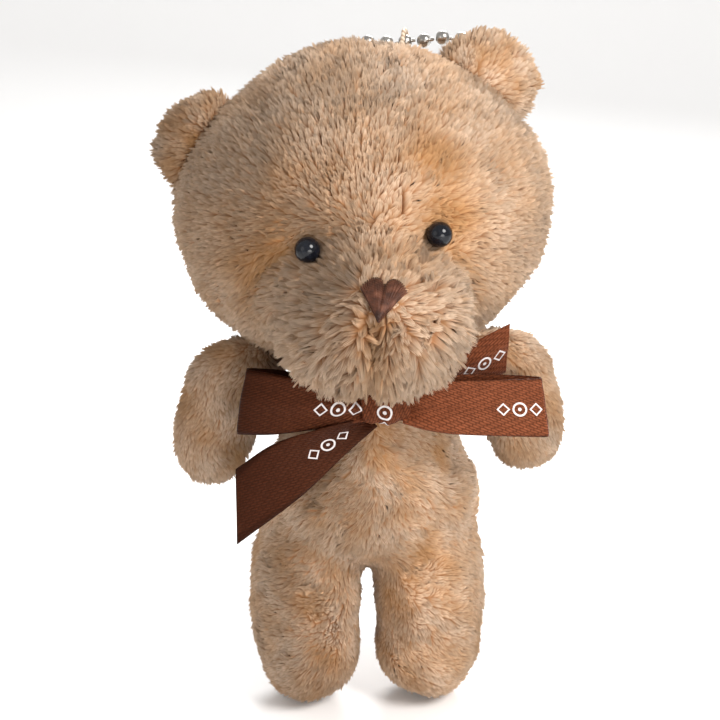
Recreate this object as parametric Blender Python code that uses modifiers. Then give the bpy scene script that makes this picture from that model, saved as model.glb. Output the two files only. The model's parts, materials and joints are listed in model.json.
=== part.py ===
"""Plush bear keychain: a stuffed bear with sewn covers, a tied satin ribbon and a ball chain on a hang loop.

Metres, +Z up, the bear faces -Y. It is drawn about its own middle plane, and stand_on_origin then puts
the origin at the centre of the base of its bounding box.
Each sewn panel, each filling, each bead of the chain and each piece of ribbon is its own closed solid.
"""
import math

import bmesh
import bpy
from mathutils import Matrix, Vector
from mathutils.bvhtree import BVHTree

MM = 0.001
GAP = 0.3 * MM
SEAM = 0.3 * MM
COVER = 1.1 * MM
FAR = 80 * MM

# Body and legs: (centre, radii) in millimetres of the lobes that the cover is drawn over
PELVIS = ((0, 0, 36), (19.2, 13.2, 11.5))
BELLY = ((0.2, 0, 42), (15.8, 12.2, 14))
NECK = ((0.4, 0, 50), (11.9, 10.2, 14))
LEG_X = 10.9
LEG = ((LEG_X, 0, 18.0), (9.1, 10.8, 20))
FOOT = ((LEG_X - 0.5, -0.6, 8.6), (8.6, 10.2, 9.2))
NECK_Z = 61.0 * MM

# Head, in its own frame: origin at the neck, tipped sideways on the body
NECK_AT = Vector((1.2, 2.0, 61.0)) * MM
HEAD_TIP = math.radians(-6.0)
HEAD_CENTRE = (0.6, 0, 23.6)
HEAD_RADII = (30.6, 24.2, 26.6)
CROWN_TAPER = (0.27, 2)
MUZZLE = ((0.6, -22.6, 8.6), (13.8, 14.4, 10.0))
GUSSET_TIP_Y = -35.0 * MM
GUSSET_FRONT = 3.4 * MM
GUSSET_BACK = 8.6 * MM
GUSSET_FOOT = 17.5 * MM
BACK_SEAM_Y = 11.0 * MM
NECK_OPENING = ((-16.0, -13.0), (19.0, 17.0))

# Eyes, nose and ears, in the head's frame
EYE_SPREAD = 9.9
EYE_AT = (0.3, -22.6, 21.2)
EYE_RADIUS = 1.95 * MM
SHANK_RADIUS = 0.8 * MM
SHANK_LENGTH = 6.5 * MM
WASHER_RADIUS = 3.2 * MM
WASHER_THICK = 0.7 * MM
WASHER_DEPTH = 4.6 * MM
EYE_HOLE_START = 6.0 * MM
EYE_HOLE_LENGTH = 12.0 * MM
EYE_POCKET_LENGTH = 14.0 * MM
NOSE_SPOT = (0.35 * MM, 14.4 * MM)
NOSE_WIDTH = 6.0 * MM
NOSE_HEIGHT = 6.4 * MM
NOSE_THICK = 0.9 * MM
EAR_RADII = (9.7, 3.8, 10.1)
EAR_COVER = 0.9 * MM
EARS = {"left": ((-22.7, 3.4, 34.9), -58), "right": ((22.2, 3.4, 40.0), 46)}

# Arms: lobes from the shoulder to the hand on the bear's +X side, mirrored for the other
SHOULDER = Vector((17.6, 0, 54.4)) * MM
ARM = (((17.9, 0, 54.6), (5.7, 5.0, 6.0)), ((23.6, -0.3, 55.0), (7.2, 6.0, 7.4)),
       ((25.9, -0.5, 46.6), (7.1, 6.2, 8.8)))
ARM_SHIFT = {"left": (0, 0, 0), "right": (0.7, 0, 1.4)}

# Ribbon
RIBBON_THICK = 0.45 * MM
NECK_BAND = ((12.4, 10.9), 4.6)
NECK_BAND_Z = 58.0 * MM
KNOT_AT = Vector((1.6, -15.4, 55.6)) * MM
KNOT_SIZE = (7.6, 4.6, 5.8)
KNOT_ROUND = 1.4 * MM
LOOP_REACH = {"left": 22.8, "right": 24.6}
LOOP_LIFT = {"left": 1.0, "right": -1.0}
LOOP_HALF_WIDTHS = {"left": (2.3, 4.3, 5.0), "right": (2.3, 4.1, 4.5)}
LOOP_OPEN = 1.9

# Ball chain
BALL_RADIUS = 1.2 * MM
WIRE_RADIUS = 0.3 * MM
PITCH = 3.2 * MM
LEVELS = 10
CHAIN_TOP = Vector((7.4, 15.6, 110.0)) * MM
CHAIN_OUT = Vector((0.16, 0.72, 0.67)).normalized()
CHAIN_ROLL = math.radians(5)
CHAIN_RISE = math.radians(14)
CHAIN_END = math.radians(180)
CONNECTOR_WIDTH = 3.8 * MM
CONNECTOR_LENGTH = 6.8 * MM
SHEET = 0.4 * MM
LOOP_RADIUS = 2.0 * MM
CORD_RADIUS = 0.4 * MM

PLUSH = (0.52, 0.32, 0.17)
FILLING = (0.85, 0.84, 0.80)
SATIN = (0.12, 0.035, 0.018)
THREAD = (0.10, 0.035, 0.02)
EYE_BLACK = (0.006, 0.006, 0.009)
NYLON = (0.75, 0.74, 0.70)
STEEL = (0.35, 0.34, 0.33)


def clear_scene():
    for obj in list(bpy.data.objects):
        bpy.data.objects.remove(obj, do_unlink=True)


def collection(name):
    group = bpy.data.collections.new(name)
    bpy.context.scene.collection.children.link(group)
    return group


def material(name, colour, roughness, metallic=0.0):
    mat = bpy.data.materials.new(name)
    mat.use_nodes = True
    shader = mat.node_tree.nodes["Principled BSDF"]
    shader.inputs["Base Color"].default_value = (*colour, 1)
    shader.inputs["Roughness"].default_value = roughness
    shader.inputs["Metallic"].default_value = metallic
    mat.diffuse_color = (*colour, 1)
    return mat


def add(name, mesh, mat=None, parent=None, group=None):
    """Links a mesh as a named part, or as a cutter when it has no material."""
    obj = bpy.data.objects.new(name, mesh)
    (group or (PARTS if mat else CUTTERS)).objects.link(obj)
    if mat:
        mesh.materials.clear()
        mesh.materials.append(mat)
    else:
        obj.hide_render = True
        obj.display_type = "WIRE"
    obj.parent = parent
    return obj


def mesh_of(bm, name):
    mesh = bpy.data.meshes.new(name)
    bm.to_mesh(mesh)
    bm.free()
    return mesh


def evaluated_mesh(obj):
    graph = bpy.context.evaluated_depsgraph_get()
    graph.update()
    return bpy.data.meshes.new_from_object(obj.evaluated_get(graph))


def soft_form(name, lobes, voxel, keep, crown=(0, 1)):
    """One smooth closed mesh drawn over overlapping ellipsoids; the first can taper towards its crown."""
    bm = bmesh.new()
    taper, power = crown
    for index, (centre, radii) in enumerate(lobes):
        ball = bmesh.ops.create_uvsphere(bm, u_segments=40, v_segments=24, radius=1)
        for vert in ball["verts"]:
            narrow = 1 - taper * max(vert.co.z, 0) ** power if index == 0 else 1
            spot = (vert.co.x * narrow, vert.co.y * narrow, vert.co.z)
            vert.co = Vector(c + r * s for c, r, s in zip(centre, radii, spot)) * MM
    form = bpy.data.objects.new(name, mesh_of(bm, name))
    CUTTERS.objects.link(form)
    remesh = form.modifiers.new("Remesh", "REMESH")
    remesh.mode = "VOXEL"
    remesh.voxel_size = voxel * MM
    smooth = form.modifiers.new("Smooth", "SMOOTH")
    smooth.iterations = 16
    thin = form.modifiers.new("Decimate", "DECIMATE")
    thin.ratio = keep
    mesh = evaluated_mesh(form)
    bpy.data.objects.remove(form)
    return mesh


def offset(mesh, distance):
    """A copy of a closed mesh moved along its normals; positive grows it."""
    bm = bmesh.new()
    bm.from_mesh(mesh)
    bm.normal_update()
    moves = [(vert, vert.normal.copy()) for vert in bm.verts]
    for vert, normal in moves:
        vert.co += normal * distance
    return bm


def filling_mesh(form, name):
    return mesh_of(offset(form, -(COVER + 2 * GAP)), name)


def hollow_mesh(form, name, thickness=COVER):
    """The form's skin with its real thickness: the outer surface and an inner one facing in."""
    bm = offset(form, -thickness)
    bmesh.ops.reverse_faces(bm, faces=bm.faces)
    bm.from_mesh(form)
    return mesh_of(bm, name)


def box_mesh(low, high, name):
    bm = bmesh.new()
    bmesh.ops.create_cube(bm, size=1)
    low, high = Vector(low), Vector(high)
    for vert in bm.verts:
        vert.co = (low + high) / 2 + Vector(c * (h - k) for c, h, k in zip(vert.co, high, low))
    return mesh_of(bm, name)


def cylinder_mesh(radius, start, length, name, segments=20):
    """A cylinder along +Y from start."""
    bm = bmesh.new()
    middle = Vector(start) + Vector((0, length / 2, 0))
    turn = Matrix.Translation(middle) @ Matrix.Rotation(math.pi / 2, 4, "X")
    bmesh.ops.create_cone(bm, cap_ends=True, segments=segments, radius1=radius, radius2=radius,
                          depth=length, matrix=turn)
    return mesh_of(bm, name)


def cut(obj, cutter, operation="DIFFERENCE", solver="EXACT"):
    boolean = obj.modifiers.new(cutter.name, "BOOLEAN")
    boolean.object = cutter
    boolean.operation = operation
    boolean.solver = solver


def half_space(name, low, high, parent=None):
    """A box cutter that holds one side of a seam."""
    return add(f"cutter_{name}", box_mesh(low, high, name), parent=parent)


def two_panels(prefix, form, thickness, seat=None, clear_of=None, solver="EXACT"):
    """The front and back panels of a cover whose seam lies in the seat's XZ plane."""
    halves = {"front": ((-FAR, -FAR, -FAR), (FAR, -SEAM / 2, FAR)),
              "back": ((-FAR, SEAM / 2, -FAR), (FAR, FAR, FAR))}
    for face, (low, high) in halves.items():
        name = prefix.format(face)
        panel = add(name, hollow_mesh(form, name, thickness), PLUSH_MAT, seat)
        if clear_of:
            cut(panel, clear_of, solver=solver)
        cut(panel, half_space(name, low, high, seat), "INTERSECT", solver)


def empty(name, location, tip=0.0):
    """An empty on a joint's axis that its moving pieces are parented to."""
    frame = bpy.data.objects.new(name, None)
    PARTS.objects.link(frame)
    frame.location = location
    frame.rotation_euler = (0, tip, 0)
    bpy.context.view_layer.update()
    return frame


def turned(name, profile, steps):
    """A closed turned mesh about Z from (radius, height) points that run down its outer side."""
    mesh = bpy.data.meshes.new(name)
    mesh.from_pydata([(r, 0, z) for r, z in profile], [(i, i + 1) for i in range(len(profile) - 1)], [])
    spin = bpy.data.objects.new(name + "_spin", mesh)
    CUTTERS.objects.link(spin)
    screw = spin.modifiers.new("Screw", "SCREW")
    screw.steps = steps
    screw.render_steps = steps
    screw.use_merge_vertices = True
    screw.merge_threshold = 0.00001
    result = evaluated_mesh(spin)
    bpy.data.objects.remove(spin)
    return result


def arc(radius, start, end, count):
    """(radius, height) points of a circle about the origin, angles measured from +Z."""
    angles = [start + (end - start) * i / (count - 1) for i in range(count)]
    return [(radius * math.sin(a), radius * math.cos(a)) for a in angles]


def along(points):
    """A smooth run through a few points, as a function of 0 to 1."""
    spots = [Vector(p) for p in points]
    ends = [2 * spots[0] - spots[1], *spots, 2 * spots[-1] - spots[-2]]

    def at(share):
        whole = min(int(share * (len(spots) - 1)), len(spots) - 2)
        t = share * (len(spots) - 1) - whole
        a, b, c, d = ends[whole:whole + 4]
        return 0.5 * (2 * b + (c - a) * t + (2 * a - 5 * b + 4 * c - d) * t * t
                      + (3 * b - a - 3 * c + d) * t ** 3)
    return at


def ribbon_strip(name, centre, across, steps, parent=None):
    """A strip of ribbon: centre and across give its middle line and half-width vector in millimetres."""
    bm = bmesh.new()
    bmesh.ops.create_grid(bm, x_segments=steps, y_segments=2, size=1)
    middle, side = along(centre), along(across)
    for vert in bm.verts:
        share = min(max((vert.co.x + 1) / 2, 0), 1)
        vert.co = (middle(share) + side(share) * vert.co.y) * MM
    strip = add(name, mesh_of(bm, name), SATIN_MAT, parent)
    thick = strip.modifiers.new("Solidify", "SOLIDIFY")
    thick.thickness = RIBBON_THICK
    thick.offset = 0
    thick.use_even_offset = True
    return strip


def body_and_legs():
    lobes = [PELVIS, BELLY, NECK]
    for side in (1, -1):
        for centre, radii in (LEG, FOOT):
            lobes.append(((side * centre[0], *centre[1:]), radii))
    form = soft_form("body_form", lobes, 1.2, 0.09)
    for vert in form.vertices:
        vert.co.z = max(vert.co.z, 0)
    above_neck = half_space("above_neck", (-FAR, -FAR, NECK_Z - 2 * GAP), (FAR, FAR, FAR * 2))
    two_panels("body_{}_panel", form, COVER, clear_of=above_neck)
    stuffing = add("body_stuffing", filling_mesh(form, "body_stuffing"), FILLING_MAT)
    cut(stuffing, above_neck)


def head(frame):
    form = soft_form("head_form", [(HEAD_CENTRE, HEAD_RADII), MUZZLE], 2.0, 0.15, CROWN_TAPER)
    (left, front), (right, rear) = NECK_OPENING
    below = half_space("below_neck", (left * MM, front * MM, -FAR), (right * MM, rear * MM, NECK_Z))
    gusset = wedge("cutter_gusset", 0, frame)
    around = wedge("cutter_gusset_margin", SEAM, frame)
    holes = []
    pockets = []
    for side in (-1, 1):
        start = eye_spot(side) - Vector((0, EYE_HOLE_START, 0))
        hole = cylinder_mesh(EYE_RADIUS + GAP, start, EYE_HOLE_LENGTH, "eye_hole")
        holes.append(add(f"cutter_eye_hole_{side}", hole, parent=frame))
        pocket = cylinder_mesh(WASHER_RADIUS + GAP, start, EYE_POCKET_LENGTH, "eye_pocket")
        pockets.append(add(f"cutter_eye_pocket_{side}", pocket, parent=frame))
    seam_y = BACK_SEAM_Y - SEAM / 2
    sides = {"head_side_left": ((-FAR, -FAR, -FAR), (-SEAM / 2, seam_y, FAR)),
             "head_side_right": ((SEAM / 2, -FAR, -FAR), (FAR, seam_y, FAR))}
    for name, (low, high) in sides.items():
        panel = add(name, hollow_mesh(form, name), PLUSH_MAT, frame)
        for cutter in (*holes, below, around):
            cut(panel, cutter)
        cut(panel, half_space(name, low, high, frame), "INTERSECT")
    top = add("head_gusset", hollow_mesh(form, "head_gusset"), PLUSH_MAT, frame)
    cut(top, gusset, "INTERSECT")
    rear_panel = add("head_back_panel", hollow_mesh(form, "head_back_panel"), PLUSH_MAT, frame)
    cut(rear_panel, below)
    behind = half_space("head_back", (-FAR, BACK_SEAM_Y + SEAM / 2, -FAR), (FAR, FAR, FAR), frame)
    cut(rear_panel, behind, "INTERSECT")
    stuffing = add("head_stuffing", filling_mesh(form, "head_stuffing"), FILLING_MAT, frame)
    for cutter in (below, *pockets):
        cut(stuffing, cutter)
    return form


def wedge(name, margin, frame):
    """The gusset's space over the crown: as wide as the back seam's end there, narrow at the nose."""
    back_y = BACK_SEAM_Y - SEAM / 2 + margin
    mesh = box_mesh((-1, GUSSET_TIP_Y, GUSSET_FOOT - margin), (1, back_y, FAR), name)
    for vert in mesh.vertices:
        half = GUSSET_FRONT if vert.co.y < 0 else GUSSET_BACK
        vert.co.x = math.copysign(half + margin, vert.co.x)
    return add(name, mesh, parent=frame)


def eye_spot(side):
    return Vector((EYE_AT[0] + side * EYE_SPREAD, EYE_AT[1], EYE_AT[2])) * MM


def eyes(frame):
    for side, word in ((-1, "left"), (1, "right")):
        spot = eye_spot(side)
        ball = arc(EYE_RADIUS, 0, math.pi - math.asin(SHANK_RADIUS / EYE_RADIUS), 8)
        profile = [*ball, (SHANK_RADIUS, -SHANK_LENGTH), (0, -SHANK_LENGTH)]
        eye = add(f"eye_{word}", turned(f"eye_{word}", profile, 14), EYE_MAT, frame)
        eye.location = spot
        eye.rotation_euler = (math.pi / 2, 0, 0)
        inner, outer = SHANK_RADIUS + GAP, WASHER_RADIUS
        top, low = WASHER_THICK / 2, -WASHER_THICK / 2
        ring = [(inner, low), (inner, top), (outer, top), (outer, low), (inner, low)]
        washer = add(f"eye_washer_{word}", turned(f"eye_washer_{word}", ring, 16), NYLON_MAT, frame)
        washer.location = spot + Vector((0, WASHER_DEPTH, 0))
        washer.rotation_euler = (math.pi / 2, 0, 0)


def nose(frame, head_form):
    """A padded heart of satin stitches, lying on the tip of the muzzle."""
    curve = bpy.data.curves.new("nose_outline", "CURVE")
    curve.dimensions = "2D"
    curve.fill_mode = "BOTH"
    curve.extrude = NOSE_THICK / 2
    curve.resolution_u = 3
    outline = curve.splines.new("BEZIER")
    half, top, foot = NOSE_WIDTH / 2, NOSE_HEIGHT * 0.42, -NOSE_HEIGHT * 0.58
    corners = [(0, top * 0.62), (half * 0.55, top), (half, top * 0.45), (0, foot),
               (-half, top * 0.45), (-half * 0.55, top)]
    outline.bezier_points.add(len(corners) - 1)
    for point, (x, y) in zip(outline.bezier_points, corners):
        point.co = (x, y, 0)
        point.handle_left_type = "AUTO"
        point.handle_right_type = "AUTO"
    outline.use_cyclic_u = True
    flat = bpy.data.objects.new("nose_flat", curve)
    CUTTERS.objects.link(flat)
    mesh = evaluated_mesh(flat)
    bpy.data.objects.remove(flat)
    bm = bmesh.new()
    bm.from_mesh(mesh)
    bmesh.ops.remove_doubles(bm, verts=bm.verts, dist=0.00001)
    patch = add("nose_embroidery", mesh_of(bm, "nose_embroidery"), THREAD_MAT, frame)
    x, z = NOSE_SPOT
    skin = BVHTree.FromPolygons([v.co for v in head_form.vertices],
                                [p.vertices for p in head_form.polygons])
    spot, normal, _, _ = skin.ray_cast(Vector((x, -FAR, z)), Vector((0, 1, 0)))
    patch.location = spot + normal * (NOSE_THICK / 2 + 2 * GAP)
    patch.rotation_euler = (math.atan2(-normal.y, normal.z), 0, 0)


def ears(frame, head_form):
    clear_of_head = add("cutter_head_clearance", mesh_of(offset(head_form, GAP), "head_clearance"),
                        parent=frame)
    for word, (spot, turn) in EARS.items():
        form = soft_form(f"ear_{word}_form", [((0, 0, 0), EAR_RADII)], 1.5, 0.16)
        seat = empty(f"ear_{word}_seat", Vector(spot) * MM, math.radians(turn))
        seat.parent = frame
        two_panels(f"ear_{word}_{{}}", form, EAR_COVER, seat, clear_of_head, "MANIFOLD")


def arms():
    for side, word in ((-1, "left"), (1, "right")):
        shift = Vector(ARM_SHIFT[word])
        lobes = [(Vector((side * centre[0], *centre[1:])) + shift, radii) for centre, radii in ARM]
        form = soft_form(f"arm_{word}_form", lobes, 1.3, 0.13)
        pivot = Vector((side * SHOULDER.x, SHOULDER.y, SHOULDER.z)) + shift * MM
        form.transform(Matrix.Translation(-pivot))
        seat = empty(f"arm_{word}_pivot", pivot)
        two_panels(f"arm_{word}_{{}}", form, COVER, seat)
        add(f"arm_{word}_stuffing", filling_mesh(form, f"arm_{word}_stuffing"), FILLING_MAT, seat)


def ribbon():
    (half_x, half_y), height = NECK_BAND
    bm = bmesh.new()
    bmesh.ops.create_cone(bm, cap_ends=False, segments=40, radius1=1, radius2=1, depth=height * MM)
    for vert in bm.verts:
        vert.co.x *= half_x * MM
        vert.co.y *= half_y * MM
    band = add("neck_ribbon", mesh_of(bm, "neck_ribbon"), SATIN_MAT)
    band.location = (0.4 * MM, 0, NECK_BAND_Z)
    thick = band.modifiers.new("Solidify", "SOLIDIFY")
    thick.thickness = RIBBON_THICK
    thick.offset = 1

    bm = bmesh.new()
    bmesh.ops.create_cube(bm, size=1)
    for vert in bm.verts:
        vert.co = Vector(c * s for c, s in zip(vert.co, KNOT_SIZE)) * MM
    knot = add("bow_knot", mesh_of(bm, "bow_knot"), SATIN_MAT)
    knot.location = KNOT_AT
    rounded = knot.modifiers.new("Bevel", "BEVEL")
    rounded.width = KNOT_ROUND
    rounded.segments = 3
    for side, word in ((-1, "left"), (1, "right")):
        centre, across = loop_run(side, word)
        ribbon_strip(f"bow_loop_{word}", centre, across, 24)
    x, y, z = KNOT_AT / MM
    ribbon_strip("bow_tail_left",
                 [(x - 3.2, y + 0.4, z - 5.4), (-7.0, y - 0.8, z - 9.2), (-13.4, y - 1.4, z - 12.6),
                  (-21.8, y - 1.4, z - 16.8)],
                 [(-1.4, 0, 1.8), (-2.4, 0, 3.4), (-2.2, 0, 4.4), (0.1, 0, 6.2)], 12)
    ribbon_strip("bow_tail_right",
                 [(x + 4.3, y + 3.2, z + 0.6), (12, y + 2.6, z + 3.3), (20.5, y + 1.4, z + 8.3)],
                 [(-0.4, -0.3, 1.4), (-1.3, -1.7, 3.0), (-0.6, -2.2, 4.0)], 10)


def loop_run(side, word):
    """A bow loop's middle line and half-widths: out along the back layer, round the fold, home in front."""
    near, far = KNOT_SIZE[0] / 2 + 0.5, LOOP_REACH[word]
    lift = LOOP_LIFT[word]
    out = [(near, LOOP_OPEN * 0.65, 0), (far * 0.6, LOOP_OPEN, lift * 0.2),
           (far - 0.9, LOOP_OPEN * 0.6, lift)]
    home = [(reach, -gap, rise) for reach, gap, rise in reversed(out)]
    x, y, z = KNOT_AT / MM
    centre = [(x + side * reach, y + gap, z + rise) for reach, gap, rise in [*out, (far, 0, lift), *home]]
    knot, middle, end = LOOP_HALF_WIDTHS[word]
    return centre, [(0, 0, half) for half in (knot, middle, end, end, end, middle, knot)]


def chain_frame():
    """The chain loop's plane: sideways, up and out from the head."""
    up = (Vector((0, 0, 1)) - CHAIN_OUT * CHAIN_OUT.z).normalized()
    sideways = up.cross(CHAIN_OUT).normalized()
    if sideways.x < 0:
        sideways.negate()
    roll = Matrix.Rotation(-CHAIN_ROLL, 3, CHAIN_OUT)
    return roll @ sideways, roll @ up


def strand(side):
    """Ball centres of one strand, from the ball in the hang loop to the one in the connector."""
    sideways, up = chain_frame()
    spots = [CHAIN_TOP.copy()]
    for index in range(LEVELS):
        t = index / (LEVELS - 1)
        heading = (CHAIN_RISE - (CHAIN_RISE + CHAIN_END) * t * t * (3 - 2 * t)) if index else 0
        step = sideways * (side * math.cos(heading)) + up * math.sin(heading)
        spots.append(spots[-1] + step * PITCH)
    return spots


def bead_profile(necks):
    """A plain ball, one with a wire neck on its +Z side, or one with a neck on both sides."""
    reach = PITCH - BALL_RADIUS - GAP
    start = math.asin(WIRE_RADIUS / BALL_RADIUS)
    upper = [(0, reach), (WIRE_RADIUS, reach)] if necks else []
    lower = [(WIRE_RADIUS, -reach), (0, -reach)] if necks > 1 else []
    top = start if necks else 0
    foot = math.pi - start if necks > 1 else math.pi
    return upper + arc(BALL_RADIUS, top, foot, 7) + lower


def aim(obj, spot, direction):
    obj.location = spot
    obj.rotation_mode = "QUATERNION"
    obj.rotation_quaternion = direction.to_track_quat("Z", "Y")


def chain():
    plain, neck, double = (turned(f"bead_{count}_necks", bead_profile(count), 9) for count in range(3))
    left, right = strand(-1), strand(1)
    sideways, up = chain_frame()
    middle = add("chain_ball_00", double, STEEL_MAT)
    aim(middle, CHAIN_TOP, sideways)
    for word, spots in (("left", left), ("right", right)):
        for level in range(1, LEVELS + 1):
            last = level == LEVELS
            mesh = (plain if last else neck).copy()
            ball = add(f"chain_ball_{word}_{level:02d}", mesh, STEEL_MAT)
            start, end = (level - 1, level) if last else (level, level + 1)
            aim(ball, spots[level], spots[end] - spots[start])
    connector(left[-1], right[-1], sideways, up)
    hang_loop(sideways, up)


def connector(left_end, right_end, sideways, up):
    """The clasp: a trough of folded sheet that holds a ball at each end."""
    half, rim = CONNECTOR_WIDTH / 2, CONNECTOR_WIDTH * 0.32
    inner = half - SHEET
    points = [(-half, rim), (-half, -half), (half, -half), (half, rim),
              (inner, rim), (inner, -inner), (-inner, -inner), (-inner, rim)]
    curve = bpy.data.curves.new("connector_outline", "CURVE")
    curve.dimensions = "2D"
    curve.fill_mode = "BOTH"
    curve.extrude = CONNECTOR_LENGTH / 2
    outline = curve.splines.new("POLY")
    outline.points.add(len(points) - 1)
    for point, (x, y) in zip(outline.points, points):
        point.co = (x, y, 0, 1)
    outline.use_cyclic_u = True
    flat = bpy.data.objects.new("connector_flat", curve)
    CUTTERS.objects.link(flat)
    mesh = evaluated_mesh(flat)
    bpy.data.objects.remove(flat)
    bm = bmesh.new()
    bm.from_mesh(mesh)
    bmesh.ops.remove_doubles(bm, verts=bm.verts, dist=0.00001)
    clasp = add("chain_connector", mesh_of(bm, "chain_connector"), STEEL_MAT)
    turn = Matrix((up, CHAIN_OUT, sideways)).transposed().to_4x4()
    clasp.matrix_world = Matrix.Translation((left_end + right_end) / 2) @ turn


def hang_loop(sideways, up):
    """A cord sewn into the crown seam, passing round the chain's middle ball."""
    foot = 5.0 * MM
    path = [(-LOOP_RADIUS, -foot)]
    path += [(-LOOP_RADIUS * math.cos(a), LOOP_RADIUS * math.sin(a)) for a in
             [math.pi * i / 10 for i in range(11)]]
    path.append((LOOP_RADIUS, -foot))
    curve = bpy.data.curves.new("hang_cord", "CURVE")
    curve.dimensions = "3D"
    curve.bevel_depth = CORD_RADIUS
    curve.bevel_resolution = 2
    curve.use_fill_caps = True
    line = curve.splines.new("POLY")
    line.points.add(len(path) - 1)
    for point, (a, b) in zip(line.points, path):
        point.co = (*(CHAIN_TOP + up * a + CHAIN_OUT * b), 1)
    cord = bpy.data.objects.new("hang_cord", curve)
    CUTTERS.objects.link(cord)
    mesh = evaluated_mesh(cord)
    bpy.data.objects.remove(cord)
    bm = bmesh.new()
    bm.from_mesh(mesh)
    bmesh.ops.remove_doubles(bm, verts=bm.verts, dist=0.00001)
    loop = add("hang_loop", mesh_of(bm, "hang_loop"), NYLON_MAT)
    cut(loop, bpy.data.objects["cutter_head_clearance"])


def stand_on_origin():
    """Moves the whole model so that the origin is the centre of its box's base."""
    bpy.context.view_layer.update()
    graph = bpy.context.evaluated_depsgraph_get()
    corners = []
    for obj in PARTS.objects:
        if obj.type == "MESH":
            shape = obj.evaluated_get(graph)
            corners += [obj.matrix_world @ vert.co for vert in shape.data.vertices]
    low, high = (Vector(pick(c[i] for c in corners) for i in range(3)) for pick in (min, max))
    middle = Vector(((low.x + high.x) / 2, (low.y + high.y) / 2, low.z))
    for obj in [*PARTS.objects, *CUTTERS.objects]:
        if obj.parent is None:
            obj.location -= middle


clear_scene()
PARTS = collection("plush_bear_keychain")
CUTTERS = collection("cutters")
PLUSH_MAT = material("plush", PLUSH, 0.95)
FILLING_MAT = material("fibre_filling", FILLING, 1.0)
SATIN_MAT = material("satin_ribbon", SATIN, 0.35)
THREAD_MAT = material("embroidery_thread", THREAD, 0.5)
EYE_MAT = material("eye_plastic", EYE_BLACK, 0.08)
NYLON_MAT = material("nylon", NYLON, 0.4)
STEEL_MAT = material("steel", STEEL, 0.25, 1.0)

body_and_legs()
head_frame = empty("head_pivot", NECK_AT, HEAD_TIP)
head_form_mesh = head(head_frame)
eyes(head_frame)
nose(head_frame, head_form_mesh)
ears(head_frame, head_form_mesh)
arms()
ribbon()
chain()
stand_on_origin()
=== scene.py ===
import json
import math

import bmesh
import bpy
import numpy as np
from mathutils import Matrix, Vector
from mathutils.bvhtree import BVHTree
from mathutils.kdtree import KDTree


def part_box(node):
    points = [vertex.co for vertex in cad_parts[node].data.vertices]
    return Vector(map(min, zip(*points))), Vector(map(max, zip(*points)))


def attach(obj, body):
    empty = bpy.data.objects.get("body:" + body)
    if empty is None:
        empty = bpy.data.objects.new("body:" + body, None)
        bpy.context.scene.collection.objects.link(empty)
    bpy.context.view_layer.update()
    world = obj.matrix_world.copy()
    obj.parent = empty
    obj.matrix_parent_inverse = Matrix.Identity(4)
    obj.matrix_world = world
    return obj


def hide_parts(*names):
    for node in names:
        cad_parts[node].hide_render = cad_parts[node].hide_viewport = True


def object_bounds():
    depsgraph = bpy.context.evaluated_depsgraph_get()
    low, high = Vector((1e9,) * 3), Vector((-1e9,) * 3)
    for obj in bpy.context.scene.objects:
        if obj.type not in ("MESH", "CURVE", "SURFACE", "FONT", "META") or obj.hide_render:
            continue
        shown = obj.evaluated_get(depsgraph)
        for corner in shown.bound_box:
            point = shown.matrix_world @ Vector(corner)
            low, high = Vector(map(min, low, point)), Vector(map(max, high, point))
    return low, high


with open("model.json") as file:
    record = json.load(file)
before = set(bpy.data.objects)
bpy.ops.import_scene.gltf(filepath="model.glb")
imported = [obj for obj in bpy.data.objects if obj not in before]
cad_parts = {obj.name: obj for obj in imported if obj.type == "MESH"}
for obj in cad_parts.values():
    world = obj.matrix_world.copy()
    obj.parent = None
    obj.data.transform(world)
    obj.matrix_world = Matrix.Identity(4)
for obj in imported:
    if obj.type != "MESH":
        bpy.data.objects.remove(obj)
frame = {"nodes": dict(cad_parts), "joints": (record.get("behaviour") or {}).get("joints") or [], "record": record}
cad_low, cad_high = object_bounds()

MM = 0.001

# Soft skins: the sewn covers are drawn round the CAD panels, puffed out by cloth pressure, then refined
SEAL = 0.45 * MM
SINK = 0.25 * MM
COVER_THICK = 0.9 * MM
SIM_SCALE = 3.0
SIM_FRAMES = 20
SIM_PRESSURE = 4.0
PUFF_CAP = 0.8 * MM
HEAD_VOXEL = 2.0 * MM
BODY_VOXEL = 1.15 * MM
ARM_VOXEL = 1.7 * MM
EAR_VOXEL = 1.6 * MM

# Pile lengths, in millimetres
HEAD_PILE = 1.85
MUZZLE_PILE = 1.25
BODY_PILE = 1.45
ARM_PILE = 1.55
EAR_PILE = 1.8

# Plush colours, as linear red, green and blue
# The root colours are darker partly as the pile's own two tones and partly as painted shade deep in the pile.
ROOT = (0.29, 0.132, 0.058)
TIP = (0.70, 0.522, 0.378)
WARM_ROOT = (0.32, 0.135, 0.043)
WARM_TIP = (0.50, 0.274, 0.121)

# Satin ribbon: its mesh in metres, its weave and its print in millimetres
RIBBON_THICK = 0.32 * MM
RIBBON_STEPS = 120
RIBBON_RIBS = 20
FLOAT_LENGTH = 1.25
FLOAT_ROW = 0.40
PRINT_REPEAT = 27.0
RING_RADIUS = 1.05
DOT_RADIUS = 0.30
DIAMOND_PLACE = 2.7
DIAMOND_SIZE = 0.95
# The satin's dark colour is its own deep brown and also stands for its unlit parts; its light colour is a painted
# copper sheen, mixed in where the ribbon should look lit.
SATIN_DARK = (0.012, 0.0022, 0.0008)
SATIN_PAINTED_SHEEN = (0.262, 0.076, 0.033)
PRINT_WHITE = (0.78, 0.74, 0.74)

# Chain
BALL_RADIUS = 1.2 * MM
WIRE_RADIUS = 0.3 * MM

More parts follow.
